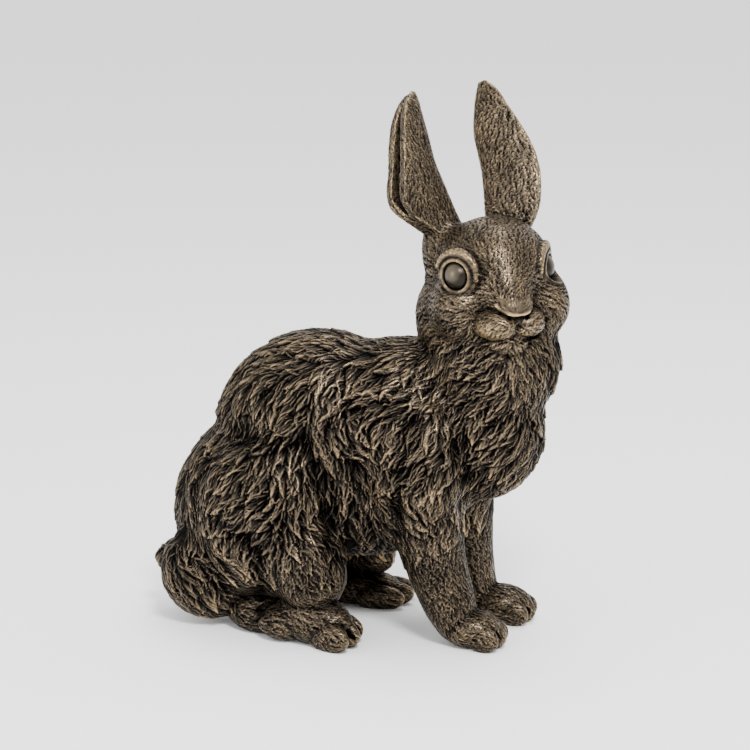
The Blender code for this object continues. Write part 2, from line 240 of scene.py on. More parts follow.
@dataclass(frozen=True)
class Taper:
    """A tapering length of clay, laid on as balls along a line.

    Attributes:
        stations: Places and radii along it, as x, y, z, radius.
        step: Distance between balls, as a share of the thinner end's radius.
    """

    stations: tuple[tuple[float, float, float, float], ...]
    step: float = 0.35

    def lay_on(self, clay: "Clay", pose: Matrix = UPRIGHT) -> None:
        """Lays the balls on.

        Args:
            clay: The clay that they join.
            pose: The frame of the stations.
        """
        for start, end in zip(self.stations, self.stations[1:]):
            start, end = Vector(start), Vector(end)
            count = max(1, math.ceil((end.xyz - start.xyz).length / (self.step * min(start.w, end.w))))
            for k in range(count + 1):
                bead = start.lerp(end, k / count)
                Mass(tuple(bead.xyz), (bead.w,) * 3).lay_on(clay, pose)


@dataclass
class Clay:
    """Lumps of clay that are fused into one skin.

    Attributes:
        lumps: The overlapping solids laid on so far, in design millimetres.
        firmness: How far one round of smoothing moves a place towards its neighbours' middle.
    """

    lumps: list[bpy.types.Object] = field(default_factory=list)
    firmness: float = 0.5

    def all_of(self, assembly: "Torso | Limbs") -> None:
        """Lays on every mass and taper of an assembly, in the order of its fields."""
        for part in fields(assembly):
            getattr(assembly, part.name).lay_on(self)

    def ring(self, centre: Vector, axis: Vector, radius: float, thickness: float) -> None:
        """Lays on a ring round an axis, all in the face's frame.

        Args:
            centre: The ring's middle.
            axis: The direction that it faces.
            radius: Its radius, to the middle of its section.
            thickness: Radius of its section.
        """
        facing = (FACE.to_3x3() @ axis).to_track_quat("Z", "Y").to_euler()
        bpy.ops.mesh.primitive_torus_add(
            major_segments=48,
            minor_segments=14,
            major_radius=radius,
            minor_radius=thickness,
            location=FACE @ centre,
            rotation=facing,
        )
        self.lumps.append(bpy.context.object)

    def fused(self, name: str, grain: float, softness: int) -> bpy.types.Object:
        """Fuses the lumps into one closed skin.

        Args:
            name: The skin's name.
            grain: Size of the remesh's voxels, in design millimetres.
            softness: Rounds of smoothing after it.

        Returns:
            The skin, an object with its modifiers applied.
        """
        only(*self.lumps)
        bpy.ops.object.join()
        skin = bpy.context.object
        bpy.ops.object.transform_apply(location=True, rotation=True, scale=True)
        skin.name = name
        fuse = skin.modifiers.new("fuse", "REMESH")
        fuse.mode = "VOXEL"
        fuse.voxel_size = grain
        soften = skin.modifiers.new("soften", "SMOOTH")
        soften.factor = self.firmness
        soften.iterations = softness
        apply_modifiers(skin)
        self.lumps = [skin]
        return skin


@dataclass(frozen=True)
class Torso:
    """The trunk, from rump to neck, with the tail. Its fields are its masses."""

    rump: Mass = Mass((-88, 0, 82), (64, 62, 70))
    back: Mass = Mass((-40, 0, 136), (82, 60, 81))
    ribs: Mass = Mass((20, 2, 146), (74, 55, 70))
    belly: Mass = Mass((-14, 0, 98), (72, 50, 44))
    chest: Mass = Mass((80, 5, 156), (45, 44, 54))
    breast: Mass = Mass((90, 0, 204), (47, 43, 45))
    neck: Mass = Mass((63, 2, 236), (31.5, 38, 36))
    seat: Mass = Mass((-112, -34, 40), (40, 30, 36), (0, 0, 20))
    tail: Mass = Mass((-144, -20, 43), (22, 14, 14))


@dataclass(frozen=True)
class Limbs:
    """Shoulders, forelegs, haunches and knees. Its fields are its masses and tapers."""

    right_shoulder: Mass = Mass((44, -38, 134), (36, 24, 48))
    right_elbow: Mass = Mass((38, -36, 98), (28, 20, 26))
    left_shoulder: Mass = Mass((52, 42, 132), (34, 22, 44))
    right_foreleg: Taper = Taper(
        ((49, -27, 92, 26), (56, -27, 58, 22.5), (65, -26, 33, 20), (71, -25, 18, 16.5))
    )
    left_foreleg: Taper = Taper(((52, 38, 98, 25), (57, 40, 50, 20), (61, 41, 27, 18), (66, 42, 17, 16)))
    right_haunch: Mass = Mass((-64, -44, 88), (54, 34, 62), (0, 12, 0))
    right_knee: Mass = Mass((-30, -54, 58), (28, 24, 38), (0, -8, 0))
    left_haunch: Mass = Mass((-66, 44, 88), (52, 33, 62), (0, 12, 0))
    left_knee: Mass = Mass((-31, 54, 56), (26, 22, 38), (0, -8, 0))
    left_shin: Taper = Taper(((-22, 50, 66, 20), (-14, 47, 38, 14)))


@dataclass(frozen=True)
class Crease:
    """A valley or a ridge in the skin.

    Attributes:
        path: Where it runs, on the left side.
        width: How far from its path it fades.
        depth: How deep it is, or how high it stands where this is below zero.
        sides: The sides that have it.
    """

    path: Path
    width: float
    depth: float
    sides: tuple[Side, ...] = tuple(Side)


BODY_CREASES: tuple[Crease, ...] = (
    Crease(((-90, 50, 146), (-62, 60, 148), (-34, 61, 146)), 9, 4.0),
    Crease(((-34, 61, 146), (-17, 58, 113), (-10, 57, 87), (-10, 70, 53)), 8, 4.0),
    Crease(((46, 54, 170), (40, 62, 143), (34, 60, 113), (32, 50, 84)), 9, 5.0),
    Crease(((74, 42, 150), (84, 34, 124)), 8, 3.0),
    Crease(
        path=((-94, 75, 86), (-72, 78, 80), (-60, 72, 64), (-60, 65, 43), (-70, 54, 22)),
        width=7,
        depth=4.0,
        sides=(Side.RIGHT,),
    ),
)


@dataclass(frozen=True)
class FrontPaws:
    """Both front paws, each with three toes.

    Attributes:
        places: Where they stand, right then left.
        radii: Half lengths of a paw.
        toe: Half lengths of a toe.
        reach: How far the middle toe's middle lies in front of the paw's.
        setback: How much less far the outer toes reach.
        spread: Distance between the middles of two toes.
        splay: Degrees that an outer toe turns out.
        between_toes: The groove between two toes, from the paw's place.
    """

    places: tuple[tuple[float, float], ...] = ((82.0, -25.0), (83.0, 42.0))
    radii: Triple = (23, 17.5, 14)
    toe: Triple = (12, 7, 10)
    reach: float = 14
    setback: float = 2
    spread: float = 10.5
    splay: float = 7
    between_toes: Crease = Crease(((6, 5, 24), (27, 6.5, 8)), 1.8, 3.0)

    def lay_on(self, clay: Clay) -> None:
        """Lays on the paws and their toes.

        Args:
            clay: The clay that they join.
        """
        for x, y in self.places:
            Mass((x, y, self.radii[2]), self.radii).lay_on(clay)
            for k in (-1, 0, 1):
                place = (x + self.reach - self.setback * abs(k), y + self.spread * k, self.toe[2])
                Mass(place, self.toe, (0, 0, self.splay * k)).lay_on(clay)

    def carve(self, skin: "Skin") -> None:
        """Presses the grooves between the toes.

        Args:
            skin: The fused skin.
        """
        groove = self.between_toes
        for x, y in self.places:
            for side in groove.sides:
                path = [(x + ahead, y + beside, z) for ahead, beside, z in mirrored(groove.path, side)]
                skin.engrave(path, groove.width, groove.depth)


@dataclass(frozen=True)
class HindFoot:
    """One long hind foot, toes turned out.

    Attributes:
        side: Which foot.
        instep: Its middle.
        hock: The joint behind it.
        toes: Y of the middle toe's middle, and the toes' height.
        toe: Half lengths of a toe.
        heel: The heel, on the left side.
        front: X of the middle toe's middle.
        setback: How much less far the outer toes reach.
        spread: Distance between the middles of two toes.
        turn: Degrees that the middle toe turns out.
        splay: Degrees between two toes.
        groove_back: X of a groove's start; how far out it starts, and how much for each toe.
        groove_front: The same for its end.
        groove_lift: Height of the groove's start over the toes, as a share of a toe's half height.
        groove: Width and depth of the groove between two toes.
    """

    side: Side
    instep: Mass
    hock: Mass
    toes: tuple[float, float]
    toe: Triple
    heel: Mass = Mass((-74, 40, 14), (28, 18, 15), (0, 0, 18))
    front: float = -8
    setback: float = 3
    spread: float = 12
    turn: float = 16
    splay: float = 6
    groove_back: Triple = (-22, -4, 11)
    groove_front: Triple = (14, 3, 15)
    groove_lift: float = 1.75
    groove: tuple[float, float] = (2.0, 3.2)

    def lay_on_toes(self, clay: Clay) -> None:
        """Lays on the heel and the toes.

        Args:
            clay: The clay that they join.
        """
        out = self.side.value
        self.heel.on(self.side).lay_on(clay)
        for k in (-1, 0, 1):
            place = (self.front - self.setback * abs(k), self.toes[0] + self.spread * k * out, self.toes[1])
            Mass(place, self.toe, (0, 0, (self.turn + self.splay * k) * out)).lay_on(clay)

    def carve(self, skin: "Skin") -> None:
        """Presses the grooves between the toes.

        Args:
            skin: The fused skin.
        """
        out, (middle, height), radius = self.side.value, self.toes, self.toe[2]
        for k in (-0.5, 0.5):
            path = [
                (x, middle + (each * k + whole) * out, z)
                for (x, whole, each), z in (
                    (self.groove_back, height + self.groove_lift * radius),
                    (self.groove_front, radius / 2),
                )
            ]
            skin.engrave(path, *self.groove)


HIND_FEET: tuple[HindFoot, ...] = (
    HindFoot(
        side=Side.RIGHT,
        instep=Mass((-28, -54, 18), (34, 19, 18), (0, 0, -16)),
        hock=Mass((-50, -56, 14), (20, 15, 13), (0, 0, -16)),
        toes=(-57.0, 11.0),
        toe=(20, 8, 12.0),
    ),
    HindFoot(
        side=Side.LEFT,
        instep=Mass((-30, 48, 13), (32, 18, 13), (0, 0, 16)),
        hock=Mass((-52, 46, 14), (20, 15, 13), (0, 0, 16)),
        toes=(50.0, 9.0),
        toe=(20, 8, 10.0),
    ),
)


@dataclass
class Eye:
    """One eye: its smooth ball, the ring of its lids and the brow over it.

    Attributes:
        side: Which eye.
        ball_radius: Radius of the eyeball.
        depth: How far the ball's middle lies behind the plane of the lids.
        lid_radius: Radius of the lids' ring, to the middle of its thickness.
        lid_thickness: Radius of the ring's own section.
        outward: Degrees that the eye looks away from straight ahead.
        setting: Forward, left and up of the lids' middle, for the left eye.
        mound: How far behind the lids the mound round them lies, how much wider it is than they
            are, and the radius of its section.
        brow_arc: Degrees that the brow starts at, from the eye's front corner, and that it spans.
        brow_place: How far the brow lies behind the lids and from the eye's axis.
        brow_radii: Radius of the brow's section in its middle, and how much thinner its ends are.
        brow_beads: How many balls make the brow.
        socket: How far past the lids' inner edge the socket reaches, and how far it lies under the
            ball's surface.
        highlight_centre: How far back and up from its axis the ball's painted highlight is brightest.
        rubbed_and_painted_light: How fast that highlight fades, and how much less there is of it everywhere.
    """

    side: Side
    ball_radius: float = 10.6
    depth: float = 5.6
    lid_radius: float = 11.2
    lid_thickness: float = 1.8
    outward: float = 55.0
    setting: Triple = (1.0, 34.5, 0.0)
    mound: Triple = (3.6, 1.0, 3.6)
    brow_arc: tuple[float, float] = (-5, 165)
    brow_place: tuple[float, float] = (2.0, 16.0)
    brow_radii: tuple[float, float] = (3.9, 1.5)
    brow_beads: int = 15
    socket: tuple[float, float] = (0.6, 1.8)
    highlight_centre: tuple[float, float] = (0.2, 0.35)
    rubbed_and_painted_light: tuple[float, float] = (3.2, 0.1)

    def axis(self) -> Vector:
        """The way the eye looks, in the face's frame."""
        out = math.radians(self.outward * self.side.value)
        return Vector((math.cos(out), math.sin(out), 0.0))

    def front(self) -> Vector:
        """The middle of the lids' ring, in the face's frame."""
        return Vector((self.setting[0], self.setting[1] * self.side.value, self.setting[2]))

    def forward(self) -> Vector:
        """The direction from the ring's middle to its front corner."""
        axis = self.axis()
        return Vector((-axis.y, axis.x, 0.0)) * -self.side.value

    def lay_on(self, clay: Clay) -> None:
        """Lays on the mound round the eye, the brow and the lids.

        Args:
            clay: The clay that they join.
        """
        axis, front, last = self.axis(), self.front(), self.brow_beads - 1
        behind, wider, thickness = self.mound
        clay.ring(front - axis * behind, axis, self.lid_radius + wider, thickness)
        behind, reach = self.brow_place
        for k in range(self.brow_beads):
            turn = math.radians(self.brow_arc[0] + self.brow_arc[1] * k / last)
            across = math.cos(turn) * self.forward() + math.sin(turn) * Vector(UP)
            thick = self.brow_radii[0] - self.brow_radii[1] * abs(2 * k - last) / last
            Mass(tuple(front - axis * behind + across * reach), (thick,) * 3).lay_on(clay, FACE)
        clay.ring(front, axis, self.lid_radius, self.lid_thickness)

    def around(self, points: np.ndarray) -> tuple[np.ndarray, np.ndarray, np.ndarray]:
        """Measures places against the eye.

        Args:
            points: Places in design millimetres.

        Returns:
            Their height over the plane of the lids, their distance from the eye's axis, and the axis.
        """
        front = np.array((FACE @ self.front())[:])
        axis = np.array((FACE.to_3x3() @ self.axis())[:])
        offset = points - front
        height = offset @ axis
        return height, np.linalg.norm(offset - height[:, None] * axis, axis=1), axis

    def above(self, points: np.ndarray) -> np.ndarray:
        """How far places lie above the ring's middle, in millimetres."""
        front, up = FACE @ self.front(), FACE.to_3x3() @ Vector(UP)
        return (points - np.array(front[:])) @ np.array(up[:])

    def carve(self, skin: "Skin") -> None:
        """Hollows the socket inside the lids, so that the ball stands in a dark groove.

        Args:
            skin: The fused skin.
        """
        height, radius, axis = self.around(skin.points)
        past, under = self.socket
        edge = self.lid_radius - self.lid_thickness + past
        ball = np.sqrt(self.ball_radius**2 - np.minimum(radius, self.ball_radius) ** 2) - self.depth
        share = np.clip(edge - radius, 0, 1) * (abs(height) < self.ball_radius)
        skin.points += (np.minimum(ball - under - height, 0) * share)[:, None] * axis

    def paint_highlight(self, ball: bpy.types.Object) -> None:
        """Stores a painted highlight on the ball: brightest on its upper front, painted shade at the lids.

        Args:
            ball: The eyeball, in design millimetres.
        """
        back, up = self.highlight_centre
        fade, less = self.rubbed_and_painted_light
        middle = FACE @ (self.front() - self.axis() * self.depth)
        brightest = FACE.to_3x3() @ (self.axis() - back * self.forward() + up * Vector(UP)).normalized()
        facing = [(vertex.co - middle).normalized().dot(brightest) for vertex in ball.data.vertices]
        # The ball's painted highlight and painted shade, stored as its tone.
        layer = ball.data.attributes.new("wear", "FLOAT", "POINT")
        layer.data.foreach_set("value", [max(0.0, 1.0 - fade * (1.0 - cosine)) - less for cosine in facing])

    def eyeball(self) -> bpy.types.Object:
        """Makes the smooth ball, as a piece of its own.

        Returns:
            The ball, in the frame's metres.
        """
        bpy.ops.mesh.primitive_uv_sphere_add(segments=64, ring_count=32, radius=self.ball_radius)
        ball = bpy.context.object
        ball.name = f"{self.side.name.lower()}_eyeball"
        centre = self.front() - self.axis() * self.depth
        facing = self.axis().to_track_quat("Z", "Y").to_matrix().to_4x4()
        ball.data.transform(FACE @ Matrix.Translation(centre) @ facing)
        # Paints the highlight on the ball's upper front and the shade towards its lids.
        self.paint_highlight(ball)
        ball.data.transform(DESIGN.to_frame())
        bpy.ops.object.shade_smooth()
        return ball


NOSE_EDGE: Path = ((33, 0, -25.5), (30, 7, -23.5), (22, 12.5, -19))


@dataclass
class Skull:
    """Skull, cheeks, snout, muzzle, nose and chin.

    What comes in pairs is given for the left side. Skull, jaw, cheeks, nape and the roots of the
    ears are in the head's frame, and the rest is in the face's. The fields that aren't listed are
    masses and creases named for what they are.

    Attributes:
        eyes: Both eyes.
        cleft: The groove under the nose, between the whisker pads.
        nose_edge: The sharp lower edge of the nose, from its tip to a wing.
        cheek_fold: The hollow behind a whisker pad.
        cheek_ridge: The edge in front of that hollow.
    """

    eyes: tuple[Eye, ...] = (Eye(Side.RIGHT), Eye(Side.LEFT))
    skull: Mass = Mass((-24, 0, 0), (44, 40, 35))
    jaw: Mass = Mass((-26, 0, -28), (34, 46, 28))
    snout: Taper = Taper(((-8, 0, 6, 26), (8, 0, -10, 21), (18, 0, -19, 14)))
    cheek: Mass = Mass((-12, 31, -26), (28, 19, 25))
    nape: Mass = Mass((-48, -2, -6), (28, 37, 32), (0, -15, 0))
    right_ear_root: Mass = Mass((-48, -31.5, 5), (18, 15, 30), (0, -20, 0))
    left_ear_root: Mass = Mass((-46, 18, 11), (18, 13, 22), (0, -20, 0))
    right_ear_base: Mass = Mass((-53, -27, 18), (14, 10, 12), (0, -30, 0))
    nose: Mass = Mass((25, 0, -19), (9, 12.5, 7), (0, 20, 0))
    upper_lip: Mass = Mass((17.5, 0, -31.5), (12.5, 7, 8))
    chin: Mass = Mass((10, 0, -48), (15, 15, 10))
    whisker_pad: Mass = Mass((14, 11, -33), (19, 14.5, 11.5), (0, 0, -14))
    nose_edge: Crease = Crease(NOSE_EDGE, 1.6, -1.3)
    nostril: Crease = Crease(((24, 11, -24.5), (28.5, 6.5, -27)), 1.5, 2.1)
    mouth: Crease = Crease(((28, 3, -43), (21, 13, -45), (9, 24, -43)), 1.9, 2.6)
    cheek_fold: Crease = Crease(((-3, 28, -35), (-3, 30, -26)), 3.2, 2.2)
    cheek_ridge: Crease = Crease(((-5, 33, -30), (3, 29, -22)), 1.6, -1.3)
    cleft: Crease = Crease(((32, 0, -27.5), (30.5, 0, -35), (28, 0, -41)), 1.5, 2.0)

    def lay_on(self, clay: Clay) -> None:
        """Lays on skull, cheeks, snout and the roots of the ears.

        Args:
            clay: The clay that they join.
        """
        self.skull.lay_on(clay, HEAD)
        self.jaw.lay_on(clay, HEAD)
        self.snout.lay_on(clay, FACE)
        for side in Side:
            self.cheek.on(side).lay_on(clay, HEAD)
        for mass in (self.nape, self.right_ear_root, self.left_ear_root, self.right_ear_base):
            mass.lay_on(clay, HEAD)

    def lay_on_features(self, clay: Clay) -> None:
        """Lays on nose, lip, chin, whisker pads and the surrounds of the eyes.

        Args:
            clay: The clay that they join.
        """
        for mass in (self.nose, self.upper_lip, self.chin):
            mass.lay_on(clay, FACE)
        for side in Side:
            self.whisker_pad.on(side).lay_on(clay, FACE)
        for eye in self.eyes:
            eye.lay_on(clay)

    def carve(self, skin: "Skin") -> None:
        """Presses in nostrils, cleft lip, mouth and the folds behind the pads.

        Args:
            skin: The fused skin.
        """
        for side in Side:
            for crease in (self.nose_edge, self.nostril, self.mouth, self.cheek_fold, self.cheek_ridge):
                skin.engrave(mirrored(crease.path, side), crease.width, crease.depth, FACE)
        skin.engrave(list(self.cleft.path), self.cleft.width, self.cleft.depth, FACE)
        for eye in self.eyes:
            eye.carve(skin)


def curve_through(stations: tuple[float, ...], values: tuple[float, ...], share: float) -> float:
    """Reads a smooth curve that passes through values at stations.

    Args:
        stations: Where the values hold, rising.
        values: The values there.
        share: Where the curve is read.

    Returns:
        The curve's height at that share.
    """
    slopes = np.gradient(values, stations)
    k = min(int(np.searchsorted(stations, share, side="right")) - 1, len(stations) - 2)
    span = stations[k + 1] - stations[k]
    t = (share - stations[k]) / span
    from_start = (1 + 2 * t) * (1 - t) ** 2 * values[k] + t * (1 - t) ** 2 * span * slopes[k]
    from_end = t**2 * (3 - 2 * t) * values[k + 1] + t**2 * (t - 1) * span * slopes[k + 1]
    return from_start + from_end


@dataclass
class Ear:
    """One ear: a leaf folded along its length, with its opening to the side.

    Attributes:
        root: Where its middle line starts, in the head's frame.
        tip: Where it ends.
        opening: Degrees from straight ahead to the way the hollow faces.
        sections: Share of the length, then millimetres from the middle line to the fold, to the
            rims, and half the gap between both rims.
        wall: Thickness of its wall.
    """

    root: Triple
    tip: Triple
    opening: float
    sections: tuple[tuple[float, float, float, float], ...]
    wall: float = 6.5

    def lay_on(self, clay: Clay) -> None:
        """Bends a grid into the folded leaf and gives it its wall.

        Args:
            clay: The clay that it joins.
        """
        root, tip = Vector(self.root), Vector(self.tip)
        along = (tip - root).normalized()
        shares, folds, rims, gaps = zip(*self.sections)
        turn = math.radians(self.opening)
        facing = Vector((math.cos(turn), math.sin(turn), 0))
        facing = (facing - along * facing.dot(along)).normalized()
        beside = along.cross(facing)
        bpy.ops.mesh.primitive_grid_add(x_subdivisions=24, y_subdivisions=60, size=2.0)
        leaf = bpy.context.object
        for vert in leaf.data.vertices:
            across, share = vert.co.x * math.pi / 2, (vert.co.y + 1) / 2
            fold, rim, gap = (curve_through(shares, sizes, share) for sizes in (folds, rims, gaps))
            out = -fold + (fold + rim) * (1 - math.cos(across))
            vert.co = root.lerp(tip, share) + facing * out + beside * gap * math.sin(across)
        leaf.data.transform(HEAD)
        wall = leaf.modifiers.new("wall", "SOLIDIFY")
        wall.thickness = self.wall
        wall.offset = 0.0
        apply_modifiers(leaf)
        clay.lumps.append(leaf)


RIGHT_EAR = Ear(
    (-46, -26, 16),
    (-100, -39, 112),
    -68,
    (
        (0.0, 10, 8, 3),
        (0.08, 10, 20, 3),
        (0.17, 8, 30.5, 4),
        (0.25, 6, 36, 7),
        (0.34, 4, 35.5, 9),
        (0.5, 1, 29.5, 8.5),
        (0.7, 1, 22.5, 8),
        (0.86, 1, 15, 6),
        (0.95, 1, 8, 4),
        (1.0, 0, 2, 2),
    ),
)
LEFT_EAR = Ear(
    (-46, 20.5, 21.5),
    (-100, 15, 117),
    68,
    (
        (0.0, 16, 13, 5),
        (0.13, 15, 21, 8),
        (0.27, 13, 25, 9.5),
        (0.4, 11.5, 26.5, 9.5),
        (0.53, 11.5, 24, 9),
        (0.67, 11.5, 19, 8),
        (0.8, 8.5, 13.5, 7),
        (0.92, 4.5, 8.5, 5),
        (1.0, 1, 2, 2),
    ),
)


@dataclass
class Skin:
    """The statue's surface as arrays, so that it can be carved and combed.

    Attributes:
        obj: The object that holds the mesh.
        fine_groove: Width of a groove that the patina follows in full; it follows wider ones less.
        points: Places of its vertices, in design millimetres.
        normals: Its vertex normals.
        near: For each vertex itself and up to eight others that share a face with it.
        pressed: How deep and narrow the engraved grooves are at each vertex; below zero on ridges.
    """

    obj: bpy.types.Object
    fine_groove: float = 1.5
    points: np.ndarray = field(init=False)
    normals: np.ndarray = field(init=False)
    near: np.ndarray = field(init=False)
    pressed: np.ndarray = field(init=False)

    def __post_init__(self) -> None:
        """Reads the mesh."""
        self.read()
        self.near = self.neighbours()
        self.pressed = np.zeros(len(self.points))

    def read(self) -> None:
        """Reads places and normals from the mesh."""
        vertices = self.obj.data.vertices
        flat = np.empty(len(vertices) * 3, dtype=np.float32)
        vertices.foreach_get("co", flat)
        self.points = flat.reshape(-1, 3).astype(float)
        vertices.foreach_get("normal", flat)
        self.normals = flat.reshape(-1, 3).astype(float)

    def write(self) -> None:
        """Writes the places back to the mesh and renews the normals."""
        self.obj.data.vertices.foreach_set("co", self.points.astype(np.float32).ravel())
        self.obj.data.update()
        self.read()

    def neighbours(self, most: int = 8) -> np.ndarray:
        """Lists the vertices round each vertex.

        Args:
            most: How many are kept for each vertex.

        Returns:
            One row for each vertex: itself, then its neighbours, then itself again as filler.
        """
        mesh = self.obj.data
        count = len(mesh.vertices)
        flat = np.empty(len(mesh.loops), dtype=np.int32)
        mesh.loops.foreach_get("vertex_index", flat)
        corners = flat.reshape(-1, 4).astype(np.int64)
        turned = [np.roll(corners, -k, axis=1) for k in (1, 2, 3)]
        keys = np.unique(np.concatenate([(corners * count + other).ravel() for other in turned]))
        owner, other = keys // count, keys % count
        rank = np.arange(len(keys)) - np.searchsorted(owner, owner)
        table = np.repeat(np.arange(count)[:, None], most + 1, axis=1)
        kept = rank < most
        table[owner[kept], rank[kept] + 1] = other[kept]
        return table

    def blurred(self, values: np.ndarray, rounds: int) -> np.ndarray:
        """Averages values over neighbouring vertices.

        Args:
            values: One number or place for each vertex.
            rounds: How many times over.

        Returns:
            The blurred values.
        """
        for _ in range(rounds):
            values = values[self.near].mean(1)
        return values

    def bulge(self, rounds: int) -> np.ndarray:
        """How far each place stands out from the blurred surface round it, in millimetres."""
        return ((self.points - self.blurred(self.points, rounds)) * self.normals).sum(1)

    def near_path(self, path: list[Triple], pose: Matrix = UPRIGHT) -> np.ndarray:
        """Distance of every vertex from a path of straight stretches.

        Args:
            path: The path's corners, in the pose's millimetres.
            pose: The frame of the path.

        Returns:
            One distance for each vertex.
        """
        stops = np.array([(pose @ Vector(stop))[:] for stop in path])
        nearest = np.full(len(self.points), np.inf)
        for start, end in zip(stops, stops[1:]):
            line = end - start
            share = np.clip((self.points - start) @ line / (line @ line), 0, 1)
            gap = np.linalg.norm(self.points - start - share[:, None] * line, axis=1)
            nearest = np.minimum(nearest, gap)
        return nearest

    def engrave(self, path: list[Triple], width: float, depth: float, pose: Matrix = UPRIGHT) -> None:
        """Presses a groove into the skin along a path, or raises a ridge where depth is below zero.

        Args:
            path: The groove's corners, in the pose's millimetres.
            width: How far from the path the groove fades.
            depth: How deep it is.
            pose: The frame of the path.
        """
        fade = np.exp(-((self.near_path(path, pose) / width) ** 2))
        self.points -= self.normals * (depth * fade)[:, None]
        self.pressed += depth * fade * self.fine_groove / width

    def trim(self, level: float) -> None:
        """Flattens what lies below a level, as the soles are ground flat."""
        self.points[:, 2] = np.maximum(self.points[:, 2], level)

    def store(self, name: str, values: np.ndarray) -> None:
        """Stores one number for each vertex on the mesh, under a name that materials read."""
        layer = self.obj.data.attributes.new(name, "FLOAT", "POINT")
        layer.data.foreach_set("value", values.astype(np.float32))


@dataclass(frozen=True)
class Guide:
    """One place on the coat that says how the fur lies there.

    Attributes:
        place: Where, in the pose's millimetres, on the right side or the middle line.
        lie: The direction that the hairs point in.
        tuft: How far the big tufts stand proud.
        length: How long the fur is.
        on_head: Whether place and lie are in the head's frame.
    """

    place: Triple
    lie: Triple
    tuft: float
    length: CoatLength
    on_head: bool = False


COAT: tuple[Guide, ...] = (
    Guide((-20, 0, 218), (-1.0, 0, -0.1), 3.4, CoatLength.LONG),
    Guide((40, 0, 236), (-0.8, 0, -0.6), 2.8, CoatLength.LONG),
    Guide((-95, 0, 180), (-0.7, 0, -0.7), 3.6, CoatLength.LONG),
    Guide((-146, 0, 110), (-0.2, 0, -1.0), 3.6, CoatLength.LONG),
    Guide((5, -50, 195), (-0.8, -0.2, -0.6), 3.6, CoatLength.LONG),
    Guide((-5, -58, 140), (0.45, 0, -0.9), 3.6, CoatLength.LONG),
    Guide((-75, -60, 150), (-0.5, -0.2, -0.8), 4.0, CoatLength.LONG),
    Guide((-62, -80, 90), (-0.55, 0, -0.8), 3.4, CoatLength.LONG),
    Guide((-30, -80, 48), (0.3, 0, -0.9), 0.7, CoatLength.MEDIUM),
    Guide((0, -45, 74), (0.2, 0, -1.0), 3.0, CoatLength.LONG),
    Guide((48, -62, 145), (-0.35, 0, -0.9), 3.8, CoatLength.LONG),
    Guide((44, -58, 100), (0.1, 0, -1.0), 1.7, CoatLength.MEDIUM),
    Guide((62, -46, 60), (0.1, 0, -1.0), 0.7, CoatLength.SHORT),
    Guide((68, -40, 35), (0.1, 0, -1.0), 0.0, CoatLength.SHORT),
    Guide((82, -27, 20), (0.8, 0, -0.6), 0.0, CoatLength.SHORT),
    Guide((98, -38, 162), (-0.6, -0.3, -0.8), 4.0, CoatLength.LONG),
    Guide((124, 0, 165), (-0.2, 0, -1.0), 4.2, CoatLength.LONG),
    Guide((95, -45, 212), (-0.6, -0.2, -0.8), 3.6, CoatLength.LONG),
    Guide((130, -5, 215), (-0.2, 0, -1.0), 4.8, CoatLength.LONG),
    Guide((-110, -62, 40), (0.6, 0, -0.8), 2.4, CoatLength.LONG),
    Guide((-155, -22, 42), (-0.6, 0.3, -0.6), 3.0, CoatLength.LONG),
    Guide((-26, -66, 32), (0.9, 0, -0.4), 0.0, CoatLength.SHORT),
    Guide((0, -60, 20), (1.0, 0, -0.2), 0.0, CoatLength.SHORT),
    Guide((-75, -45, 12), (1.0, 0, -0.2), 0.3, CoatLength.MEDIUM),
    Guide((-90, -60, 22), (0.9, 0, -0.4), 0.3, CoatLength.MEDIUM),
    Guide((0, 0, 60), (-1.0, 0, 0.0), 0.8, CoatLength.MEDIUM),
    Guide((-14, 0, 36), (-0.9, 0, 0.5), 0.0, CoatLength.SHORT, True),
    Guide((8, 0, 12), (-0.8, 0, 0.6), 0.0, CoatLength.SHORT, True),
    Guide((22, 0, -10), (-0.8, 0, 0.6), 0.0, CoatLength.SHORT, True),
    Guide((6, -24, -12), (-0.8, -0.4, -0.1), 0.0, CoatLength.SHORT, True),
    Guide((-10, -46, -22), (-0.8, -0.2, -0.6), 0.0, CoatLength.SHORT, True),
    Guide((-14, -40, 16), (-0.9, -0.1, 0.3), 0.0, CoatLength.SHORT, True),
    Guide((-20, -38, -52), (-0.6, -0.2, -0.8), 2.2, CoatLength.MEDIUM, True),
    Guide((20, -14, -36), (-0.6, -0.7, 0.1), 0.0, CoatLength.SHORT, True),
    Guide((14, 0, -58), (-0.7, 0, -0.7), 1.4, CoatLength.SHORT, True),
    Guide((-60, -20, 20), (-0.9, 0, -0.4), 0.0, CoatLength.SHORT, True),
    Guide((-70, 0, -30), (-0.5, 0, -0.9), 2.4, CoatLength.MEDIUM, True),
    Guide((-55, -30, 40), (-0.5, 0, 0.85), 0.0, CoatLength.SHORT, True),
    Guide((-75, -30, 75), (-0.5, 0, 0.85), 0.0, CoatLength.SHORT, True),
    Guide((-95, -30, 110), (-0.5, 0, 0.85), 0.0, CoatLength.SHORT, True),
)


